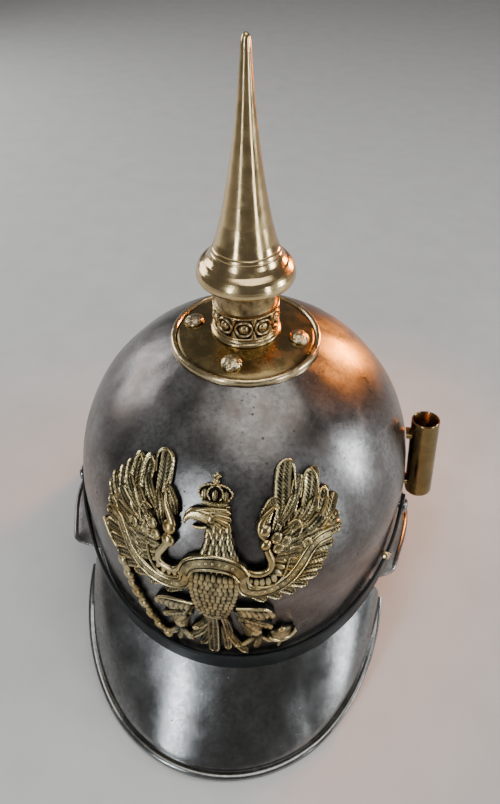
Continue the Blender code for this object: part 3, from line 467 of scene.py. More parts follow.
rivet_brass = brass("rivet_brass", (0.60, 0.50, 0.31), (0.34, 0.24, 0.11), 0.27, 0.7,
                    hammer=0.0011, beat=430)
drop = plate_top(RIVET_CIRCLE - 0.002) - plate_top(RIVET_CIRCLE + 0.002)
plate_slope = math.atan2(drop, 0.004)
for number in range(4):
    azimuth = RIVET_TURN + math.pi / 2 * number
    out = Vector((math.sin(azimuth), -math.cos(azimuth), 0.0))
    axis = Vector((0, 0, math.cos(plate_slope))) + out * math.sin(plate_slope)
    turn = axis.to_track_quat("Z", "Y")
    foot = out * RIVET_CIRCLE + Vector((0, 0, plate_top(RIVET_CIRCLE)))
    head = [(RIVET_RADIUS * math.cos(a) ** 0.8, 0.0003 + RIVET_HEIGHT * math.sin(a))
            for a in np.radians(np.arange(0, 85, 6))]
    profile = [(0.0, 0.0003 + RIVET_HEIGHT), *head[::-1], (RIVET_RADIUS * 0.97, 0.0001),
               (RIVET_SHANK, 0.0001), (RIVET_SHANK, -RIVET_DEPTH), (0.0, -RIVET_DEPTH)]
    rivet_bm = turned(profile, 40, place=lambda point: foot + turn @ point,
                      wobble=lambda a, k: 1 + 0.018 * math.sin(3 * a + number) * math.sin(0.9 * k))
    rivet = show(f"rivet_head_{number + 1}", rivet_bm, rivet_brass)
    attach(rivet, "root")
    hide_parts(f"plate_rivet_{number + 1}")


# Spike neck: a hollow cast collar between plate and spike. Round its waist runs a band of pearls,
# each in its own ring, with pairs of small pointed leaves between them, on a ground gone dark.

NECK_RADIUS = 0.0143
NECK_HEIGHT = 0.0297
NECK_BORE = 0.0127
NECK_FOOT = 1.21 * NECK_RADIUS
PEARLS = 10
PEARL_TURN = math.radians(-4.9) + 0.143
BAND_LOW, BAND_HIGH = 0.145, 0.500  # shares of the neck's height
BAND_RADIUS = 1.09 * NECK_RADIUS
PEARL_RADIUS, PEARL_RISE = 0.0024, 0.0014
RING_RADIUS, RING_HALF_WIDTH, RING_RISE = 0.0039, 0.0008, 0.0010
LEAF_RISE = 0.0009
foot_height = plate_top(NECK_FOOT) + SEAT


def pearl_relief(azimuth, height):
    """Height of the ornament above the band's ground, and how proud it is from 0 to 1."""
    pitch = 2 * math.pi / PEARLS
    nearest = (azimuth - PEARL_TURN + pitch / 2) % pitch - pitch / 2
    along = abs(nearest) * BAND_RADIUS
    across = height - foot_height - NECK_HEIGHT * (BAND_LOW + BAND_HIGH) / 2
    away = math.hypot(along, across)
    pearl = PEARL_RISE * math.sqrt(max(0.0, 1 - (away / PEARL_RADIUS) ** 2))
    ring = RING_RISE * max(0.0, 1 - ((away - RING_RADIUS) / RING_HALF_WIDTH) ** 2)
    side = BAND_RADIUS * pitch / 2 - along
    leaf_width = 0.0017 * max(0.0, (abs(across) - 0.0009) / 0.0040)
    leaf = LEAF_RISE * max(0.0, 1 - (side / leaf_width) ** 2) if leaf_width > 0.0002 else 0.0
    rise = max(pearl, ring, leaf)
    return rise, min(1.0, rise / 0.0008)


def patina(name, colour, dark, roughness):
    """Cast brass that is bright on the proud parts and dark in the recesses, by the stored pride."""
    mat, tree, shader, place = new_finish(name, colour, 1.0, roughness)
    proud = put(tree, "ShaderNodeAttribute", {}, attribute_name="pride").outputs["Fac"]
    grime = reckon(tree, "MULTIPLY", between(tree, noise(tree, place, 240, 5), 0.3, 0.7, 0.55, 1.45), proud)
    fine = noise(tree, place, 900, 4, rough=0.65)
    warm = (colour[0] * 0.78, colour[1] * 0.64, colour[2] * 0.42, 1)
    tone = mix(tree, between(tree, noise(tree, place, 45, 4), 0.42, 0.68), (*colour, 1), warm)
    tone = mix(tree, between(tree, grime, 0.20, 0.70), (*dark, 1), tone)
    tree.links.new(tone, shader.inputs["Base Color"])
    tree.links.new(between(tree, grime, 0.1, 0.8, roughness + 0.3, roughness), shader.inputs["Roughness"])
    tree.links.new(bump(tree, fine, 0.00005), shader.inputs["Normal"])
    return mat


def keep_pride(piece, values):
    """Store how proud each vertex is, for the patina."""
    layer = piece.data.attributes.new("pride", "FLOAT", "POINT")
    layer.data.foreach_set("value", np.asarray(values, np.float32))


NECK_PROFILE = ((1.210, 0.000), (1.222, 0.010), (1.222, 0.028), (1.180, 0.045), (1.130, 0.062),
                (1.110, 0.085), (1.110, 0.100), (1.130, 0.106), (1.145, 0.114), (1.145, 0.128),
                (1.130, 0.137))
NECK_TOP = ((1.120, 0.507), (1.140, 0.514), (1.140, 0.530), (1.110, 0.540), (1.010, 0.548),
            (1.000, 0.556), (1.000, 0.80), (1.000, 1.000))
neck_rings = []
for i in range(480):
    azimuth = 2 * math.pi * i / 480
    rows = [(share * NECK_RADIUS, foot_height + rise * NECK_HEIGHT) for share, rise in NECK_PROFILE]
    for k in range(45):
        height = foot_height + NECK_HEIGHT * (BAND_LOW + (BAND_HIGH - BAND_LOW) * k / 44)
        rows.append((1.075 * NECK_RADIUS + pearl_relief(azimuth, height)[0], height))
    rows += [(share * NECK_RADIUS, foot_height + rise * NECK_HEIGHT) for share, rise in NECK_TOP]
    rows += [(NECK_BORE, foot_height + NECK_HEIGHT), (NECK_BORE, plate_top(NECK_BORE) + SEAT)]
    neck_rings.append([(r * math.sin(azimuth), -r * math.cos(azimuth), z) for r, z in rows])
neck_brass = patina("neck_brass", (0.52, 0.38, 0.19), (0.022, 0.018, 0.012), 0.24)
neck_collar = show("neck_collar", skin(neck_rings, wrap_rows=True, wrap_columns=True), neck_brass, sharp=60)
pride = []
for vert in neck_collar.data.vertices:
    azimuth = math.atan2(vert.co.x, -vert.co.y)
    share = (vert.co.z - foot_height) / NECK_HEIGHT
    inside_band = BAND_LOW - 0.004 < share < BAND_HIGH + 0.004
    plain = 0.46 if share > 0.545 else 0.85
    pride.append(pearl_relief(azimuth, vert.co.z)[1] if inside_band else plain)
keep_pride(neck_collar, pride)
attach(neck_collar, "root")
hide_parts("spike_neck")


# Spike: a hollow cone of spun brass that sweeps out like a trumpet into a round, convex lip, with
# two fine lines turned into it above the lip. Its open stem sits in the neck.

SPIKE_HEIGHT = 0.0988
SPIKE_LIP = 0.0233
SPIKE_STEM = 0.018
SPIKE_WALL = 0.0010
LINES = (0.158, 0.138)  # shares of the height where the two lines are cut
LINE_DEPTH = 0.0003
# share of the lip's radius, share of the height, from the tip down
SPIKE_PROFILE = ((0.000, 1.000), (0.034, 0.9975), (0.060, 0.990), (0.079, 0.976), (0.090, 0.955),
                 (0.097, 0.930), (0.104, 0.905), (0.127, 0.843), (0.154, 0.773), (0.190, 0.700),
                 (0.232, 0.624), (0.283, 0.544), (0.342, 0.460), (0.412, 0.372), (0.495, 0.280),
                 (0.600, 0.190), (0.672, 0.145), (0.735, 0.1125), (0.800, 0.0935), (0.850, 0.0865),
                 (0.902, 0.0765), (0.945, 0.063), (0.978, 0.045), (0.996, 0.028), (1.000, 0.016),
                 (0.985, 0.006), (0.950, 0.0015), (0.900, 0.000))
SPIKE_INSIDE = ((0.860, 0.013), (0.900, 0.040), (0.740, 0.080), (0.620, 0.135), (0.370, 0.374),
                (0.236, 0.546), (0.088, 0.842), (0.050, 0.940), (0.000, 0.955))

spike_brass = brass("spike_brass", (0.68, 0.51, 0.27), (0.46, 0.30, 0.12), 0.15, 0.5)
spike_base = foot_height + NECK_HEIGHT + GAP
cone = np.array(SPIKE_PROFILE)
run = np.concatenate([[0.0], np.cumsum(np.hypot(*np.diff(cone * (SPIKE_LIP, SPIKE_HEIGHT), axis=0).T))])
steps = np.linspace(0.0, run[-1], 330)
radii = np.interp(steps, run, cone[:, 0]) * SPIKE_LIP
rises = np.interp(steps, run, cone[:, 1])
kernel = np.hanning(7) / np.hanning(7).sum()
soft = np.convolve(np.pad(radii, 3, mode="edge"), kernel, mode="valid")
soft[:6] = radii[:6]
soft[rises < 0.098] = radii[rises < 0.098]
for line in LINES:
    soft -= LINE_DEPTH * np.exp(-((rises - line) / 0.0020) ** 2)
spike_rows = [(r, spike_base + rise * SPIKE_HEIGHT) for r, rise in zip(soft, rises)]
stem = NECK_BORE - GAP
stem_end = spike_base - SPIKE_STEM
spike_rows += [(stem, spike_base), (stem, stem_end), (stem - SPIKE_WALL, stem_end),
               (stem - SPIKE_WALL, spike_base + SPIKE_INSIDE[0][1] * SPIKE_HEIGHT)]
spike_rows += [(share * SPIKE_LIP, spike_base + rise * SPIKE_HEIGHT) for share, rise in SPIKE_INSIDE]
spike_cone = show("spike_cone", turned(spike_rows, 144), spike_brass, sharp=50)
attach(spike_cone, "root")
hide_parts("spike")


# Eagle plate: a stamped brass eagle with spread wings, crowned head turned to the wearer's right,
# a bare ribbon over neck and wings, and sceptre and orb in its claws. It is bent to the brow and
# stands a little off the steel. The high parts are worn bright and the recesses are dark.

EAGLE_SEAT = 0.0006
MM = 0.001


def arc_table(across, rise):
    """Arc lengths of a quarter of an ellipse, from its end on the first axis."""
    turn = np.linspace(0.0, math.pi / 2, 900)
    pieces = np.hypot(across * np.diff(np.cos(turn)), rise * np.diff(np.sin(turn)))
    return turn, np.concatenate([[0.0], np.cumsum(pieces)])


MERIDIAN = arc_table(SKULL_FRONT, DOME_RISE)
PARALLEL = arc_table(SKULL_FRONT, SKULL_HALF_WIDTH)


def on_brow(flat):
    """Lay flat points on the front of the skull: u to the right, v up from the widest level, w out."""
    u, v, w = np.moveaxis(np.asarray(flat, float) * MM, -1, 0)
    rise = np.where(v > 0, np.interp(v, MERIDIAN[1], MERIDIAN[0]), 0.0)
    share = np.cos(rise)
    height = WIDEST + np.where(v > 0, DOME_RISE * np.sin(rise), v)
    turn = np.sign(u) * np.interp(np.abs(u) / share, PARALLEL[1], PARALLEL[0])
    across, forward = SKULL_HALF_WIDTH * share * np.sin(turn), SKULL_FRONT * share * np.cos(turn)
    spot = np.stack([across, -forward, height], -1)
    out = spot / (SKULL_HALF_WIDTH ** 2, SKULL_FRONT ** 2, 1.0)
    out[..., 2] = np.maximum(0.0, height - WIDEST) / DOME_RISE ** 2
    out /= np.linalg.norm(out, axis=-1, keepdims=True)
    return spot + out * (w + EAGLE_SEAT)[..., None]


eagle_verts, eagle_faces, eagle_pride = [], [], []


def stamp(grid, proud):
    """Add a closed form to the plate: the grid on top, walls down from its edge and a back."""
    rows, columns = grid.shape[:2]
    first = len(eagle_verts)
    back = np.stack([grid[:, 0], grid[:, -1]], axis=1).copy()
    back[..., 2] = 0.0
    eagle_verts.extend(on_brow(grid).reshape(-1, 3))
    eagle_verts.extend(on_brow(back).reshape(-1, 3))
    eagle_pride.extend(np.asarray(proud).reshape(-1))
    eagle_pride.extend([0.0] * (2 * rows))
    top = lambda i, j: first + i * columns + j
    under = lambda i, j: first + rows * columns + 2 * i + j
    for i in range(rows - 1):
        for j in range(columns - 1):
            eagle_faces.append((top(i, j), top(i, j + 1), top(i + 1, j + 1), top(i + 1, j)))
        eagle_faces.append((top(i, 0), top(i + 1, 0), under(i + 1, 0), under(i, 0)))
        eagle_faces.append((top(i + 1, columns - 1), top(i, columns - 1), under(i, 1), under(i + 1, 1)))
        eagle_faces.append((under(i, 0), under(i + 1, 0), under(i + 1, 1), under(i, 1)))
    eagle_faces.append((*(top(0, j) for j in range(columns - 1, -1, -1)), under(0, 0), under(0, 1)))
    eagle_faces.append((*(top(rows - 1, j) for j in range(columns)), under(rows - 1, 1), under(rows - 1, 0)))


def feather(root, tip, width, bend=0.0, low=0.6, rise=0.9, tilt=0.3, barbs=1.7, shaft=0.35,
            stem=0.5, pointed=False, bright=1.0):
    """One feather or leaf from root to tip, with its shaft, slanting barbs and rounded end."""
    root, tip = np.array(root, float), np.array(tip, float)
    run = tip - root
    length = np.linalg.norm(run)
    side = np.array((-run[1], run[0])) / length
    rows = max(10, int(length / (0.40 if barbs else 0.8)))
    columns = 13 if barbs else 7
    t = np.linspace(0.0, 1.0, rows)[:, None]
    s = np.linspace(-1.0, 1.0, columns)[None, :]
    spine = root + run * t + side * (bend * 4 * t * (1 - t))
    heading = run + side * (bend * 4 * (1 - 2 * t))
    square = np.stack([-heading[:, 1], heading[:, 0]], -1) / np.linalg.norm(heading, axis=1)[:, None]
    blunt = min(0.6, 0.5 * width / length * (1.6 if pointed else 1.0))
    ending = np.clip((t - 1 + blunt) / blunt, 0.0, 0.985)
    shoulder = stem + (1 - stem) * np.clip(t / 0.45, 0, 1) ** 0.8
    half = width / 2 * shoulder * ((1 - ending ** 2) if pointed else np.sqrt(1 - ending ** 2))
    flat = spine[:, None, :] + square[:, None, :] * (s * half)[..., None]
    rib = np.exp(-(s * half / 0.34) ** 2) * (1 - t * 0.5)
    if barbs:
        full = (1 - np.abs(s) ** 10) ** 0.5
        edge = np.exp(-((np.abs(s) - 0.80) / 0.17) ** 2)
        wave = np.cos(2 * math.pi * (t * length - 1.1 * np.abs(s) * half) / barbs)
        vane = np.clip(1.1 - edge - rib, 0, 1)
        height = low + rise * (0.45 * full + 0.55 * edge) + shaft * rib + 0.22 * wave * vane + tilt * t
        proud = 0.10 + 0.75 * edge + 0.55 * rib + 0.42 * np.clip(wave, 0, 1) * vane
        proud = proud * (0.4 + 0.6 * np.clip(3 * t, 0, 1)) * (0.5 + 0.5 * full)
    else:
        crown = (1 - np.abs(s) ** 2.2) ** 0.55 * np.sqrt(1 - 0.8 * ending ** 2)
        height = low + rise * crown + tilt * t + shaft * rib
        proud = (0.05 + 0.95 * crown) * (0.15 + 0.85 * np.clip(1.3 * t, 0, 1))
    stamp(np.concatenate([flat, height[..., None]], axis=-1), np.clip(proud * bright, 0, 1))


def through(points, count):
    """A smooth run of points through the given ones."""
    points = np.array(points, float)
    ends = np.vstack([2 * points[0] - points[1], points, 2 * points[-1] - points[-2]])
    result = []
    for i in range(len(points) - 1):
        a, b, c, d = ends[i:i + 4]
        for t in np.linspace(0, 1, count, endpoint=False):
            result.append(0.5 * (2 * b + (c - a) * t + (2 * a - 5 * b + 4 * c - d) * t ** 2
                                 + (3 * b - a - 3 * c + d) * t ** 3))
    return np.array([*result, points[-1]])


def band(points, width, low, rise, border=0.0, count=8):
    """A long form on a smooth line: round across, or flat with a raised border on each side."""
    line = through(points, count)
    heading = np.gradient(line, axis=0)
    square = np.stack([-heading[:, 1], heading[:, 0]], -1) / np.linalg.norm(heading, axis=1)[:, None]
    s = np.linspace(-1, 1, 19 if border else 9)[None, :]
    t = np.linspace(0, 1, len(line))[:, None]
    half = np.interp(t, (0, 0.5, 1), (width[0] / 2, width[1] / 2, width[2] / 2))
    flat = line[:, None, :] + square[:, None, :] * (s * half)[..., None]
    if border:
        lines = np.exp(-((np.abs(s) - 0.82) / 0.11) ** 2)
        height = low + rise * np.clip((1 - np.abs(s)) * 14, 0.2, 1) + border * lines + 0 * t
        proud = 0.50 + 0.75 * lines - 0.46 * np.exp(-((np.abs(s) - 0.58) / 0.09) ** 2) + 0 * t
    else:
        height = low + rise * (1 - np.abs(s) ** 2.2) ** 0.5 + 0 * t
        proud = 0.2 + 0.8 * (1 - np.abs(s) ** 2.2) ** 0.5 + 0 * t
    stamp(np.concatenate([flat, height[..., None]], axis=-1), np.clip(proud, 0, 1))


def boss(u, v, radius, low, rise, bright=1.0):
    """A round raised dot."""
    s = np.linspace(-1, 1, 11 if radius > 1 else 6)[None, :]
    t = np.linspace(-0.98, 0.98, 13 if radius > 1 else 7)[:, None]
    half = np.sqrt(1 - t ** 2)
    flat = np.stack([u + radius * s * half, v - radius * t + 0 * s], -1)
    lift = np.sqrt(np.clip(1 - (s * half) ** 2 - t ** 2, 0, 1))
    stamp(np.concatenate([flat, (low + rise * lift)[..., None]], axis=-1), bright * (0.25 + 0.75 * lift))


def sheet(inner, outer, low):
    """The dark ground of a wing, between its inner and its outer contour."""
    sides = []
    for points in (inner, outer):
        points = np.array(points, float)
        run = np.concatenate([[0.0], np.cumsum(np.hypot(*np.diff(points, axis=0).T))])
        spots = np.linspace(0, run[-1], 44)
        sides.append(np.stack([np.interp(spots, run, points[:, k]) for k in (0, 1)], -1))
    t = np.linspace(0, 1, 7)[None, :, None]
    flat = sides[0][:, None] * (1 - t) + sides[1][:, None] * t
    stamp(np.concatenate([flat, np.full((44, 7, 1), low)], axis=-1), np.full((44, 7), 0.04))


def beads(points, gap, radius, low):
    """A row of small beads along a smooth line."""
    line = through(points, 12)
    run = np.concatenate([[0.0], np.cumsum(np.hypot(*np.diff(line, axis=0).T))])
    for spot in np.arange(gap, run[-1] - gap / 2, gap):
        boss(np.interp(spot, run, line[:, 0]), np.interp(spot, run, line[:, 1]), radius, low, 0.6)


def scales(top, bottom, widths, low, rise, size, reach=1.9, bright=1.0):
    """Overlapping small feathers over a rounded form that runs from top to bottom."""
    top, bottom = np.array(top, float), np.array(bottom, float)
    run = bottom - top
    length = np.linalg.norm(run)
    along = run / length
    side = np.array((-along[1], along[0]))
    rows = int(length / size[1])
    for k in range(rows, -1, -1):
        t = k / rows
        half = np.interp(t, np.linspace(0, 1, len(widths)), widths) / 2
        count = max(2, round(2 * half / size[0])) + k % 2
        for s in np.linspace(-1 + 0.5 / count, 1 - 0.5 / count, count):
            root = top + run * t + side * s * half
            spread = side * s * 0.25 * size[1]
            level = low + rise * math.sqrt(max(0.0, 1 - s * s * 0.96))
            tip = root + along * size[1] * reach + spread
            feather(root, tip, size[0] * 1.12, low=level - 0.3, rise=0.45, tilt=0.55, barbs=0,
                    shaft=0.18, stem=0.8, bright=bright)


# RIGHT and LEFT are as seen from in front, and so are the sides 1, the right one, and -1
# columns: root u, root v, tip u, tip v, width, bend to the left of its run
RIGHT_PINIONS = (
    (20, 14, 29, 8.5, 5.0, 1.2), (15, 13, 22, 8, 4.6, 1.0), (26, 15.5, 35.5, 10, 5.2, 1.5),
    (31, 17, 41.5, 13, 5.4, 1.5), (35, 19, 46.5, 17, 5.4, 1.2), (38, 23, 49, 21, 5.4, 1.0),
    (40, 27, 51.5, 26, 5.6, 0.8), (42, 32, 54, 31.5, 6.0, 0.8), (44, 36, 58, 37, 6.8, 1.6),
    (43, 39, 55.5, 45, 6.4, -1.6), (41, 41, 52.5, 54, 7.4, -3.2), (39, 43, 47.5, 58.8, 5.6, -2.2),
    (35, 46, 39.5, 69, 8.6, -2.6), (31, 47, 33.5, 68, 5.4, 0.4), (29, 45, 26.6, 76, 8.4, 1.4),
)
LEFT_PINIONS = (
    (-22, 13, -33, 7.5, 5.0, -1.2), (-16, 12, -24, 7, 4.6, -1.0), (-28, 14.5, -42, 8.5, 5.6, -1.5),
    (-34, 16, -48.5, 9.5, 5.8, -1.5), (-39, 19, -54, 13.5, 5.8, -1.2), (-42, 23, -58.5, 18.5, 6.0, -1.0),
    (-45, 27, -61.5, 24.5, 6.4, -0.8), (-48, 32, -61.5, 31.5, 6.2, -0.8), (-49, 35, -60.5, 39, 6.4, 1.0),
    (-48, 37, -60, 46, 6.0, 2.0), (-47, 39, -57, 51.5, 6.2, 2.6), (-46, 41, -51.5, 56.5, 5.8, 2.2),
    (-44, 43, -46.5, 61.5, 5.8, 2.2), (-41, 44, -41, 67.5, 6.4, 2.2), (-35, 46, -34.5, 69.5, 7.2, 2.0),
    (-29, 45, -26.8, 75.5, 7.6, -0.8),
)
COVERTS = (
    (23.6, 43, 26.6, 57, 5.4, -0.4), (30, 24, 38, 27.5, 5.0, -0.6), (31, 28, 41, 32.5, 5.2, -0.6),
    (33, 33, 43.5, 37, 5.4, -0.6), (23, 26, 33, 23, 5.2, 1.2), (25, 30, 36, 28.5, 5.6, 1.0),
    (26, 34, 37.5, 34, 6.0, 0.6), (28, 38, 39, 40.5, 6.2, -1.0), (28, 41, 38.5, 47, 6.2, -1.8),
    (28, 45, 36.5, 54, 6.0, -2.0), (26, 49, 32, 60.5, 5.2, -1.0), (34, 38.5, 47, 40, 6.0, -0.6),
    (34, 42, 46, 48, 6.0, -1.4), (33, 46, 42, 56, 5.8, -1.8), (24, 33, 31, 33, 4.4, 0.4),
    (25, 37, 32, 38.5, 4.6, -0.6), (25, 42, 31.5, 46, 4.6, -1.0), (18.5, 50, 23.6, 60.5, 5.0, 1.2),
)
RIGHT_INNER = (
    (24.6, 64), (24.6, 58), (20.5, 53), (17.8, 50), (17.8, 46), (19.2, 43), (19.2, 40), (20.2, 36.3),
    (21.6, 32), (20.2, 29.2), (14.8, 29.5), (12.9, 28), (12.5, 20), (14, 14.5),
)
RIGHT_OUTER = (
    (31, 66), (38, 63), (44, 56), (49, 50), (51, 44), (51, 40), (52, 36), (50, 32), (49, 28),
    (47, 23.5), (44, 19), (39, 15), (33, 11.5), (25, 10.5), (18, 11), (14, 12.5),
)
LEFT_INNER = (
    (-24.6, 64), (-24.8, 58), (-22, 52), (-19.3, 48), (-19.2, 43), (-20.3, 39), (-22.4, 34.5),
    (-24.2, 30.5), (-24.3, 26.7), (-20.1, 26.2), (-16, 28), (-14.6, 25), (-14.6, 20), (-14.6, 15),
)
LEFT_OUTER = (
    (-31, 67), (-39, 63), (-45, 58), (-50, 53), (-54, 48), (-55, 43), (-57, 37), (-58, 31),
    (-57, 25), (-54, 19), (-49, 14), (-42, 11), (-33, 9.8), (-25, 9.8), (-18, 12), (-15, 13),
)
RIMS = (  # rolled edges of the tall pinions
    ((22.8, 65), (22.6, 71.5), (24.4, 74.9), (27.6, 75.4), (30.3, 73), (31.4, 68.5), (32.3, 62)),
    ((35.0, 58), (35.6, 65.3), (37.6, 68.2), (40.6, 67), (43.0, 63), (44.0, 57)),
    ((44.2, 50), (44.0, 55.5), (46.0, 58.3), (48.4, 56.6), (49.4, 53)),
    ((-31.6, 64), (-32.0, 70.5), (-29.8, 73.9), (-26.8, 74.6), (-24.3, 72), (-24.4, 66), (-25.4, 60)),
    ((-39.6, 56), (-38.2, 64), (-35.8, 68.2), (-33.4, 66.6), (-33.0, 62)),
    ((-46.2, 56), (-44.8, 63.2), (-42.2, 66.0), (-39.8, 64.4)),
)
LOBES = {  # of the trefoil on each wing
    1: ((24.9, 43.4), (29.2, 41.0), (26.0, 38.8)),
    -1: ((-30.4, 42.6), (-33.4, 38.6), (-28.2, 38.2)),
}
CURL = {  # the wing's inner edge, where it rolls over
    1: ((22.4, 56.6), (19.6, 53.6), (17.8, 50.4), (18.4, 46.6), (20.4, 44.2)),
    -1: ((-24.6, 57.8), (-24.2, 53), (-22.2, 49), (-20.8, 46), (-21.6, 43.6)),
}
BALLS = {  # u, v and radius
    1: ((19.6, 47.4, 2.8), (20.4, 41.0, 2.6)),
    -1: ((-22.0, 43.8, 3.3), (-22.2, 38.0, 3.2)),
}
SWEEP = {  # from the balls down to the ribbon
    1: ((21.2, 38.6), (22.4, 35.6), (23.6, 32.2), (23.0, 28.8), (20.2, 27.0), (16.8, 27.0),
        (12.6, 28.6)),
    -1: ((-22.4, 36.6), (-24.6, 33), (-26.8, 29), (-26.4, 25.6), (-23, 24.1), (-19, 24.4),
         (-14.6, 28.0)),
}
RIBBON = {
    1: ((11.4, 28), (11.7, 22), (13.2, 17.4), (19, 15.6), (26, 17.2), (32.6, 21.4), (37.2, 27),
        (41, 33), (45.4, 36.6), (51.5, 37)),
    -1: ((-13.4, 28), (-13.7, 22), (-15.2, 17.2), (-21, 14.9), (-28, 15.2), (-34.5, 17.2),
         (-40, 20.8), (-44, 25.2), (-47, 29.8), (-50.6, 33.6), (-55.5, 34.4)),
}
# What follows is the same on both wings, and given for the right one
PLEATS = (  # root u, root v, tip u, tip v
    (15.0, 24.6, 14.8, 20.9), (17.4, 24.4, 17.6, 19.6), (19.9, 24.2, 20.4, 19.0), (22.4, 24.4, 23.4, 18.9),
    (24.2, 26.0, 26.4, 20.6), (24.9, 28.2, 28.8, 23.6), (24.8, 30.6, 30.2, 27.4), (24.2, 33.0, 30.4, 31.2),
)
PLEAT_HEM = ((13.2, 26), (13.8, 22.6), (15.8, 20.4), (19.5, 19.2), (23.5, 19.0), (26.8, 20.4),
             (29.4, 23.6), (30.8, 28.5), (31.6, 33))
RIBBON_HOOK = ((41.5, 36.5), (40.2, 39), (37.6, 38.2), (38.4, 35.8))
COVERT_CURL = ((34.8, 41), (36.4, 45), (33.6, 49.2), (29.4, 48.4))
MIDDLE = -0.9  # the eagle's middle line
LEFT_STRETCH = 1.18  # the left wing's coverts reach further out
GROUND = 0.8  # height of the wings' ground over the plate's back

sheet(RIGHT_INNER, RIGHT_OUTER, GROUND)
sheet(LEFT_INNER, LEFT_OUTER, GROUND)
for pinions in (RIGHT_PINIONS, LEFT_PINIONS):
    for k, (u0, v0, u1, v1, width, bend) in enumerate(pinions):
        feather((u0, v0), (u1, v1), width, bend, low=0.7 + 0.035 * k, rise=1.2, tilt=0.0)
for rim in RIMS:
    band(rim, (0.9, 1.5, 0.8), 1.6, 0.9)
for side in (1, -1):
    lay = lambda u, v: (MIDDLE + side * (u - MIDDLE), v)
    for k, (u0, v0, u1, v1, width, bend) in enumerate(COVERTS):
        stretch = 1.0 if side > 0 else LEFT_STRETCH
        root, tip = lay(22 + stretch * (u0 - 22), v0), lay(22 + stretch * (u1 - 22), v1)
        feather(root, tip, width, side * bend, low=1.5 + 0.03 * k, rise=0.8, tilt=0.25, barbs=1.3)
    feather(lay(20.4, 47), lay(23.4, 59.6), 4.2, side * 1.4, low=1.7, rise=0.9, barbs=1.2)
    for u, v in LOBES[side]:
        boss(u, v, 2.6, 3.6, 0.7)
        band([(u + 1.9 * math.cos(a), v + 1.9 * math.sin(a)) for a in np.radians(range(0, 361, 60))],
             (0.8, 0.8, 0.8), 3.8, 0.7, count=4)
    band(CURL[side], (1.6, 4.0, 4.4), 2.8, 1.5)
    for u, v, radius in BALLS[side]:
        boss(u, v, radius, 3.2, 1.8)
    band(SWEEP[side], (3.6, 3.4, 3.0), 2.8, 1.5)
    for u0, v0, u1, v1 in PLEATS:
        feather(lay(u0, v0), lay(u1, v1), 3.0, low=1.9, rise=0.7, barbs=0, shaft=0.3)
    band([lay(u, v) for u, v in PLEAT_HEM], (1.0, 1.2, 0.9), 2.6, 0.9)
    band(RIBBON[side], (6.0, 6.0, 5.4), 2.4, 0.5, border=0.5)
    beads(RIBBON[side][2:], 2.9, 0.75, 2.7)
    band([lay(u, v) for u, v in RIBBON_HOOK], (1.6, 1.6, 1.2), 2.6, 0.8)
    band([lay(u, v) for u, v in COVERT_CURL], (1.0, 1.2, 0.8), 2.4, 0.9)

# Body under its feathers, and then the feathers, tips down
band([(-1, 31), (-1.2, 18), (-1.4, 4), (-1.6, -6)], (22, 23, 13), 0.8, 2.2)
scales((-1, 27), (-1.5, 2), (20.5, 20.5, 17, 12), 2.6, 0.9, (2.3, 2.5), bright=0.66)
band([(0.4, 34), (0.4, 46), (-0.6, 57.5)], (17, 11.5, 10.0), 0.8, 2.4)
scales((-0.2, 50.5), (0.4, 37), (9.0, 10, 15.5), 2.9, 1.0, (2.5, 2.3))
arch = [(-14.4, 24.6), (-12.4, 28.9), (-8, 31.4), (-1.4, 32.6), (4.4, 32.0), (8.8, 30.0), (12, 26.0)]
band(arch, (6.6, 8.2, 6.6), 4.2, 0.5, border=0.6)
beads(arch[1:-1], 2.9, 0.8, 4.6)

# Head in profile: skull and cheek, hooked beak, lower beak, brow and eye, and the feathers behind
band([(3.6, 53.6), (0, 54.2), (-5.5, 53.4)], (6.8, 7.8, 6.2), 2.6, 1.5)
HACKLES = (  # root u, root v, tip u, tip v
    (-3.6, 56.2, 4.9, 55.2), (-3.4, 54.6, 5.2, 52.6), (-3.4, 53.2, 4.8, 50.0),
    (-3.6, 51.8, 3.6, 47.4), (-4.2, 50.4, 1.2, 45.6), (-4.8, 49.2, -2.0, 44.2),
)
for u0, v0, u1, v1 in HACKLES:
    feather((u0, v0), (u1, v1), 2.5, low=3.4, rise=0.7, barbs=0, shaft=0.15)
band([(-4.4, 52.6), (-9.4, 53.3), (-13.2, 52.0), (-15.1, 48.8)], (6.2, 5.6, 1.2), 3.2, 1.8)
band([(-4.6, 48.2), (-8.2, 47.4), (-11.4, 47.6)], (2.2, 1.9, 1.0), 2.6, 1.1)
band([(3.0, 56.6), (-1, 56.6), (-6, 56.1), (-9.4, 54.9)], (1.6, 1.9, 1.2), 3.9, 1.1)
boss(-6.9, 53.9, 1.7, 3.8, 0.5, bright=0.12)
boss(-6.9, 53.9, 0.85, 4.1, 0.7)
boss(-3.4, 52.2, 1.9, 3.8, 0.7)

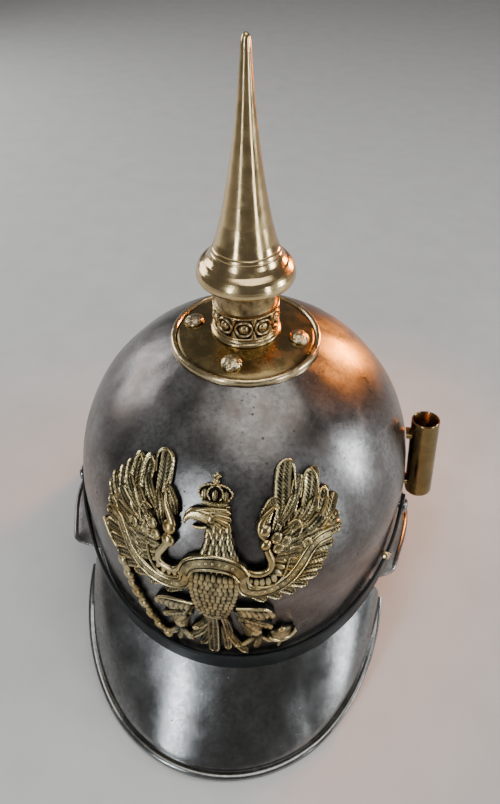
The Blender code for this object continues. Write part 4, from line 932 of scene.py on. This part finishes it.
# Crown: a jewelled band, four pearled arches that meet under an orb and cross, and leaves between
CROWN_MIDDLE = -2.6
crown_side = ((5.4, 59.6), (6.8, 62.6), (5.0, 65.4), (1.6, 66.4))
sheet([(CROWN_MIDDLE - u, v) for u, v in crown_side], [(CROWN_MIDDLE + u, v) for u, v in crown_side], 1.9)
band([(-8.2, 58.7), (-2.6, 58.2), (3.2, 58.9)], (2.2, 2.2, 2.2), 2.8, 0.6, border=0.5)
for k in range(7):
    boss(-7.4 + 1.6 * k, 58.5 + 0.25 * abs(k - 3) / 3, 0.45, 3.5, 0.5)
for mirror in (1, -1):
    for arch in (((5.4, 60.0), (7.2, 62.6), (5.6, 65.4), (2.4, 66.6), (0.4, 66.6)),
                 ((2.0, 60.0), (3.4, 62.6), (2.2, 65.2), (0.4, 66.4))):
        arch = [(CROWN_MIDDLE + mirror * u, v) for u, v in arch]
        band(arch, (0.9, 1.0, 0.9), 2.7, 0.7)
        beads([arch[0], *arch], 1.35, 0.56, 3.2)
for centre in (-7.2, -2.6, 2.0):
    feather((centre, 59.8), (centre, 64.2), 2.6, low=2.3, rise=0.8, barbs=0.9, shaft=0.3)
boss(CROWN_MIDDLE, 67.9, 1.5, 2.6, 1.4)
band([(-4.1, 67.9), (-2.6, 67.6), (-1.1, 67.9)], (0.7, 0.7, 0.7), 3.7, 0.5)
for across, up in ((0, 1.7), (1.8, 0), (-1.8, 0), (0, -1.6)):
    feather((CROWN_MIDDLE, 70.3), (CROWN_MIDDLE + across, 70.3 + up), 1.9, low=2.3, rise=0.8, barbs=0,
            shaft=0, stem=0.3)

# Legs with feathered thighs, claws, sceptre and orb
for side, hip, knee in ((-1, (-13.5, 1.2), (-20, -19)), (1, (10.4, 1.4), (17, -19))):
    band([hip, ((hip[0] + knee[0]) / 2 + 2.4 * side, -8), (knee[0], knee[1] - 6)], (7, 15, 8), 0.8, 1.4)
for side in (1, -1):
    lay = lambda u, v: (MIDDLE + side * (u - MIDDLE), v)
    for k in range(4):
        root, tip = lay(12.6 + 1.3 * k, -9.5 - 2.4 * k), lay(16 + 1.4 * k, -16 - 2.4 * k)
        feather(root, tip, 3.6, low=1.5, rise=0.9, barbs=0)
    for k in range(6):
        root, tip = lay(11.2 + 1.8 * k, -2.4 - 1.7 * k), lay(14.6 + 2.2 * k, -10.4 - 1.7 * k)
        feather(root, tip, 3.8, side * 0.8, low=1.8, rise=1.0, barbs=0, shaft=0.3)
    for k in range(7 if side < 0 else 6):
        root, tip = lay(9.6 + 2.5 * k, 4.8 - 0.7 * k), lay(12.4 + 2.7 * k, -3.6 - 0.7 * k)
        feather(root, tip, 3.8, side * 0.9, low=2.1, rise=1.1, barbs=0, shaft=0.3)
    band([lay(9, 5), lay(16, 4.2), lay(22, 2.8), lay(26 - 0.9 * side, 0)], (1.4, 2.0, 1.2), 2.6, 1.0)
for u, v in ((-19.5, -23.0), (18.6, -22.6)):
    boss(u, v, 3.0, 1.6, 1.6)
CLAWS = (  # root u, root v, tip u, tip v, width, bend
    (-20, -23, -29, -38.5, 4.2, 2.0), (-19, -23, -21.5, -40, 4.4, 1.4), (-18, -23, -12.5, -36, 4.2, -1.6),
    (18, -22, 10.5, -36, 4.2, 1.6), (19, -22, 18, -39, 4.4, 1.4), (20, -22, 27.5, -34, 4.2, -1.6),
)
for u0, v0, u1, v1, width, bend in CLAWS:
    feather((u0, v0), (u1, v1), width, bend, low=1.4, rise=1.7, tilt=0.0, barbs=0, shaft=0, pointed=True)
ORB = (31, -29.5)
boss(*ORB, 7.6, 0.6, 3.0, bright=0.55)
band([(24.2, -25.4), (26.6, -29.6), (31, -31.8), (35.4, -29.6), (37.8, -25.4)], (2.0, 2.6, 2.0), 3.0, 1.2)
band([(30.6, -31.5), (30.2, -34), (29.6, -36.8)], (2.4, 2.2, 1.8), 2.9, 1.1)
boss(31, -22.2, 2.2, 2.0, 1.6)
SCEPTRE = ((-50.5, 13), (-48.6, 4), (-45.4, -8), (-42.2, -18), (-38.0, -27), (-33, -34.5), (-28, -40))
KNOBS = (  # u, v, radius
    (-50.2, 9.5, 3.0), (-47.6, 0.8, 3.4), (-45.9, -6.4, 3.2), (-43.8, -13.6, 3.8),
    (-40.8, -21.2, 3.6), (-37.0, -28.8, 3.5), (-32.6, -35.2, 3.3), (-27.8, -40.4, 3.0),
)
band([(-65.5, 24), (-60, 18.5), (-55, 15)], (3.0, 2.4, 2.4), 0.6, 1.6)
band(SCEPTRE, (4.4, 4.6, 3.8), 1.0, 1.8)
for u, v, radius in KNOBS:
    boss(u, v, radius, 1.8, 1.8)

# Tail: a middle feather between pairs that curl away from it
feather((-1.9, 4), (-2.6, -43.5), 6.4, 0.0, low=1.6, rise=1.3, tilt=-0.2, barbs=1.8, shaft=0.5)
TAIL = (  # root u, root v, tip u, tip v, width, bend
    (-3.6, 0, -12.4, -22, 4.4, 2.6), (-5, -12, -16.8, -34.5, 5.0, 2.2), (-3.6, -16, -9, -38, 4.6, 1.2),
    (1.0, 0, 5.4, -28, 4.2, 1.4), (2.4, -14, 4.6, -40, 4.4, 0.6), (4.0, -16, 14.2, -44, 4.6, -1.0),
)
for u0, v0, u1, v1, width, bend in TAIL:
    feather((u0, v0), (u1, v1), width, bend, low=1.1, rise=1.3, tilt=0.0, barbs=1.8, pointed=True)
for u, v in ((-11.4, -21.6), (-14.6, -31.8), (9.4, -36.0)):
    boss(u, v, 1.9, 1.8, 1.2)

eagle_bm = bmesh.new()
eagle_spots = [eagle_bm.verts.new(point) for point in eagle_verts]
for corners in eagle_faces:
    eagle_bm.faces.new([eagle_spots[corner] for corner in corners])
eagle_brass = patina("eagle_brass", (0.60, 0.50, 0.27), (0.012, 0.011, 0.008), 0.21)
eagle_relief = show("eagle_relief", eagle_bm, eagle_brass, sharp=55)
keep_pride(eagle_relief, eagle_pride)
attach(eagle_relief, "root")
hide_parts("eagle_plate")


# Plume tube: drawn brass, closed and round below, open above with a plain cut mouth. Two short
# lugs soldered to its back hold it on the skull. It is the most tarnished of the brass pieces.

TUBE_RADIUS = 0.0076
TUBE_WALL = 0.0010
TUBE_LENGTH = 0.0535
TUBE_TOP_HEIGHT = 0.1325
TUBE_CLEAR = 0.00105
TUBE_SPLAY = math.radians(5.4)
TUBE_LEAN = math.radians(7.5)
LUG_WIDTH = 0.0075
LUG_THICKNESS = 0.0032

drops = [TUBE_LENGTH * share / 12 for share in range(13)]
out = max(SKULL_HALF_WIDTH * level_share(TUBE_TOP_HEIGHT - fall) - fall * math.tan(TUBE_SPLAY)
          for fall in drops)
mouth = Vector((out + TUBE_CLEAR + TUBE_RADIUS, 0.0, TUBE_TOP_HEIGHT))
down = Vector((math.tan(TUBE_SPLAY), -math.tan(TUBE_LEAN), -1.0)).normalized()
turn = (-down).to_track_quat("Z", "Y")
bore = TUBE_RADIUS - TUBE_WALL
round_end = [(TUBE_RADIUS * math.cos(a), -TUBE_LENGTH + 0.35 * TUBE_RADIUS * (1 - math.sin(a)))
             for a in np.radians(np.arange(0, 90, 10))]
sides = [(TUBE_RADIUS, -depth) for depth in (0.0008, 0.002, *np.linspace(0.005, 0.048, 14))]
lip = [(bore, -0.0004), (bore + 0.0003, 0.0), (TUBE_RADIUS - 0.0003, 0.0), (TUBE_RADIUS, -0.0004)]
tube_rows = [*lip, *sides, *round_end, (0.0, -TUBE_LENGTH), (0.0, -TUBE_LENGTH + TUBE_WALL),
             (0.6 * bore, -TUBE_LENGTH + TUBE_WALL), (bore, -TUBE_LENGTH + 0.45 * TUBE_RADIUS)]
tube_grid = []
for i in range(72):
    a = 2 * math.pi * i / 72
    tube_grid.append([mouth + turn @ Vector((r * math.cos(a), r * math.sin(a), z)) for r, z in tube_rows])
tube_bm = skin(tube_grid, wrap_rows=True, wrap_columns=True)
for share in (0.20, 0.84):
    centre = mouth + down * (share * TUBE_LENGTH)
    lug_rows = []
    for k in range(6):
        lug = []
        for a in np.radians(np.arange(0, 360, 18)):
            y = centre.y + LUG_WIDTH / 2 * math.copysign(abs(math.cos(a)) ** 0.5, math.cos(a))
            z = centre.z + LUG_THICKNESS / 2 * math.copysign(abs(math.sin(a)) ** 0.5, math.sin(a))
            half = SKULL_FRONT if y < 0 else SKULL_BACK
            near = SKULL_HALF_WIDTH * math.sqrt(level_share(z) ** 2 - (y / half) ** 2) + SEAT
            far = centre.x - TUBE_RADIUS + 0.6 * TUBE_WALL
            lug.append((near + (far - near) * k / 5, y, z))
        lug_rows.append(lug)
    lug_bm = skin(lug_rows, wrap_columns=True)
    bmesh.ops.holes_fill(lug_bm, edges=[e for e in lug_bm.edges if e.is_boundary])
    lug_mesh = bpy.data.meshes.new("lug")
    lug_bm.to_mesh(lug_mesh)
    lug_bm.free()
    tube_bm.from_mesh(lug_mesh)
    bpy.data.meshes.remove(lug_mesh)
tube_brass = brass("tube_brass", (0.29, 0.20, 0.080), (0.13, 0.085, 0.035), 0.23, 0.85)
plume_holder = show("plume_holder", tube_bm, tube_brass)
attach(plume_holder, "root")
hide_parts("plume_tube")


# Chin strap: one strap of black leather 13.5 mm wide and 2 mm thick, from post to post round the
# brow over the visor's root. Its edges are rounded and burnished, and its face is polished by wear.

STRAP_WIDTH = 0.0135
STRAP_THICKNESS = 0.0020
STRAP_SEAT = 0.0008
POST_AZIMUTH = math.radians(73.5)
POST_HEIGHT = 0.0895
# share of the way from the front to the post, share of the climb from the brow to the post
STRAP_CLIMB = ((0.00, 0.000), (0.20, 0.010), (0.40, 0.070), (0.55, 0.180), (0.68, 0.330),
               (0.80, 0.540), (0.90, 0.760), (1.00, 1.000))


def strap_centre(azimuth):
    """Point in the middle of the strap's thickness."""
    share = abs(azimuth) / POST_AZIMUTH
    climb = float(np.interp(share, *zip(*STRAP_CLIMB)))
    brow = BROW_HEIGHT + STRAP_WIDTH / 2 + 0.0008
    lift = GAP + VISOR_WALL + SEAT + 0.0001
    lift += (STRAP_SEAT - lift) * smooth_step((share - 0.87) / 0.13)
    return wall_point(azimuth, brow + (POST_HEIGHT - brow) * climb, lift + STRAP_THICKNESS / 2)


def strap_frame(azimuth, step=math.radians(4)):
    """Centre, direction along, direction across and outward normal of the strap."""
    along = (strap_centre(azimuth + step) - strap_centre(azimuth - step)).normalized()
    across = wall_normal(azimuth).cross(along).normalized()
    across = across if across.z > 0 else -across
    normal = along.cross(across).normalized()
    normal = normal if normal.dot(wall_normal(azimuth)) > 0 else -normal
    return strap_centre(azimuth), along, across, normal


def strap_loop(azimuth, width, shift=0.0):
    """Rounded cross-section of the strap, moved along it by shift."""
    centre, along, across, normal = strap_frame(azimuth)
    loop = []
    for a in np.radians(np.arange(0, 360, 10)):
        x = math.copysign(abs(math.cos(a)) ** 0.22, math.cos(a)) * width / 2
        z = math.copysign(abs(math.sin(a)) ** 0.60, math.sin(a)) * STRAP_THICKNESS / 2
        loop.append(centre + along * shift + across * x + normal * z)
    return loop


strap_loops = []
caps = [(math.sin(a) * STRAP_WIDTH / 2, math.cos(a) * STRAP_WIDTH) for a in np.linspace(0.15, 1.48, 12)]
strap_loops += [strap_loop(-POST_AZIMUTH, max(width, 0.0012), -back) for back, width in reversed(caps)]
strap_loops += [strap_loop(-POST_AZIMUTH + 2 * POST_AZIMUTH * i / 220, STRAP_WIDTH) for i in range(221)]
strap_loops += [strap_loop(POST_AZIMUTH, max(width, 0.0012), back) for back, width in caps]
strap_bm = skin(strap_loops, wrap_columns=True)
bmesh.ops.holes_fill(strap_bm, edges=[e for e in strap_bm.edges if e.is_boundary])
leather, tree, shader, place = new_finish("strap_leather", (0.010, 0.014, 0.015), 0.0, 0.38)
shader.inputs["Specular IOR Level"].default_value = 0.22
shader.inputs["Coat Weight"].default_value = 0.06
shader.inputs["Coat Roughness"].default_value = 0.22
pores = put(tree, "ShaderNodeTexVoronoi", {"Vector": place, "Scale": 1100}, feature="DISTANCE_TO_EDGE")
creases = between(tree, pores.outputs["Distance"], 0.0, 0.16)
worn = between(tree, noise(tree, place, 90, 5, twist=0.5), 0.45, 0.72)
tone = mix(tree, worn, (0.005, 0.008, 0.008, 1), (0.016, 0.024, 0.024, 1))
tree.links.new(mix(tree, creases, (0.004, 0.005, 0.005, 1), tone), shader.inputs["Base Color"])
tree.links.new(between(tree, worn, 0, 1, 0.34, 0.50), shader.inputs["Roughness"])
tree.links.new(bump(tree, creases, 0.00007, over=bump(tree, noise(tree, place, 120, 3), 0.0002)),
               shader.inputs["Normal"])
leather_strap = show("leather_strap", strap_bm, leather)
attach(leather_strap, "root")
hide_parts("chin_strap")


# Strap posts: a steel post with a low domed head through each end of the strap and the skull's side.

POST_HEAD = 0.0042
POST_HEAD_RISE = 0.0020
POST_SHANK = 0.0018

for side, name, node in ((-1, "post_right", "strap_post_right"), (1, "post_left", "strap_post_left")):
    azimuth = side * POST_AZIMUTH
    foot = wall_point(azimuth, POST_HEIGHT)
    turn = wall_normal(azimuth).to_track_quat("Z", "Y")
    reach = STRAP_SEAT + STRAP_THICKNESS + SEAT
    head = [(POST_HEAD * math.cos(a), reach + POST_HEAD_RISE * math.sin(a) ** 0.8)
            for a in np.radians(np.arange(8, 86, 6))]
    profile = [(0.0, reach + POST_HEAD_RISE), *head[::-1], (POST_HEAD, reach), (POST_SHANK, reach),
               (POST_SHANK, -SKULL_WALL - 0.001), (0.0, -SKULL_WALL - 0.001)]
    post = show(name, turned(profile, 36, place=lambda point: foot + turn @ point), visor_steel)
    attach(post, "root")
    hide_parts(node)


# Strap slide: a flat loop of brass strip round the strap on the wearer's left, which once held
# the spare end of the strap.

SLIDE_AZIMUTH = math.radians(60.5)
SLIDE_LENGTH = 0.0035
SLIDE_WALL = 0.0007

centre, along, across, normal = strap_frame(SLIDE_AZIMUTH)
half_width = STRAP_WIDTH / 2 + GAP + SLIDE_WALL / 2
half_depth = STRAP_THICKNESS / 2 + GAP + SLIDE_WALL / 2
# across the strip's wall, along the strap, in halves of the wall and of the length
SLIDE_SECTION = ((-1, -0.9), (-1, 0.9), (-0.6, 1), (0.6, 1), (1, 0.85), (1, -0.85), (0.6, -1), (-0.6, -1))
slide_loops = []
for a in np.radians(np.arange(0, 360, 7.5)):
    x = math.copysign(abs(math.cos(a)) ** 0.18, math.cos(a)) * half_width
    z = math.copysign(abs(math.sin(a)) ** 0.45, math.sin(a)) * half_depth
    spot = centre + across * x + normal * z
    outward = (across * (x / half_width) ** 15 + normal * (z / half_depth) ** 5).normalized()
    slide_loops.append([spot + outward * SLIDE_WALL / 2 * b + along * SLIDE_LENGTH / 2 * c
                        for b, c in SLIDE_SECTION])
slide_loop = show("slide_loop", skin(slide_loops, wrap_rows=True, wrap_columns=True), spike_brass)
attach(slide_loop, "root")
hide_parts("strap_slide")


# Floor: a wide, plain sheet of pale board that the helmet stands on.

floor_mesh = bpy.data.meshes.new("pale_floor")
floor_mesh.from_pydata([(-4, -4, 0), (4, -4, 0), (4, 4, 0), (-4, 4, 0)], [], [(0, 1, 2, 3)])
board, tree, shader, place = new_finish("pale_board", (0.62, 0.61, 0.59), 0.0, 0.75)
speck = between(tree, noise(tree, place, 30, 6), 0.3, 0.7)
tree.links.new(mix(tree, speck, (0.60, 0.59, 0.57, 1), (0.65, 0.64, 0.62, 1)), shader.inputs["Base Color"])
floor_mesh.materials.append(board)
pale_floor = bpy.data.objects.new("pale_floor", floor_mesh)
bpy.context.collection.objects.link(pale_floor)


# Light: soft boxes round the helmet, stood where its steel mirrors them as in a room with windows,
# with a warm lamp behind its left side, and a dim grey surround.

HELMET_MIDDLE = AXIS + Vector((0, 0, 0.13))


def soft_box(name, azimuth, elevation, distance, width, height, power, colour, spread=math.pi):
    """A rectangular area light that faces the helmet."""
    light = bpy.data.lights.new(name, "AREA")
    light.shape = "RECTANGLE"
    light.size, light.size_y = width, height
    light.energy = power
    light.color = colour
    light.spread = spread
    lamp = bpy.data.objects.new(name, light)
    a, e = math.radians(azimuth), math.radians(elevation)
    toward = Vector((math.sin(a) * math.cos(e), -math.cos(a) * math.cos(e), math.sin(e)))
    lamp.location = HELMET_MIDDLE + toward * distance
    lamp.rotation_euler = toward.to_track_quat("Z", "Y").to_euler()
    bpy.context.collection.objects.link(lamp)
    return lamp


soft_box("window_left", -27, 20, 1.3, 0.12, 0.85, 6.5, (0.86, 0.93, 1.0))
soft_box("window_right", 56, 10, 1.3, 0.14, 0.6, 4, (0.90, 0.95, 1.0))
soft_box("window_side", 90, 12, 1.3, 0.22, 0.46, 8, (0.90, 0.95, 1.0))
soft_box("window_back_left", -118, 18, 1.4, 0.8, 0.7, 10, (0.95, 0.97, 1.0))
soft_box("warm_lamp", 141, 16, 0.5, 0.11, 0.16, 0.62, (1.0, 0.30, 0.035), spread=math.radians(60))
soft_box("ceiling", 60, 80, 1.6, 1.3, 1.3, 14, (1.0, 0.98, 0.95))

world = bpy.data.worlds.new("grey_room")
world.use_nodes = True
world.node_tree.nodes["Background"].inputs["Color"].default_value = (0.54, 0.54, 0.53, 1)
world.node_tree.nodes["Background"].inputs["Strength"].default_value = 0.24
bpy.context.scene.world = world


# Camera: close in front of the helmet and above it, looking down at the brow.

CAMERA_PLACE = Vector((0.03146, -0.24041, 0.37021))  # from the foot of the spike's axis
CAMERA_TURN = math.radians(6.93)  # of its look from straight back towards -X
CAMERA_DIP = math.radians(44.35)
CAMERA_ROLL = math.radians(-0.33)

camera_data = bpy.data.cameras.new("camera")
camera_data.lens = 27.08
camera_data.sensor_width = 36.0
camera_data.clip_start = 0.01
camera = bpy.data.objects.new("camera", camera_data)
camera.location = AXIS + CAMERA_PLACE
level_way = Vector((-math.sin(CAMERA_TURN), math.cos(CAMERA_TURN), 0.0))
looking = level_way * math.cos(CAMERA_DIP) - Vector((0, 0, math.sin(CAMERA_DIP)))
camera.rotation_mode = "QUATERNION"
camera.rotation_quaternion = Quaternion(looking, CAMERA_ROLL) @ looking.to_track_quat("-Z", "Y")
bpy.context.collection.objects.link(camera)
bpy.context.scene.camera = camera
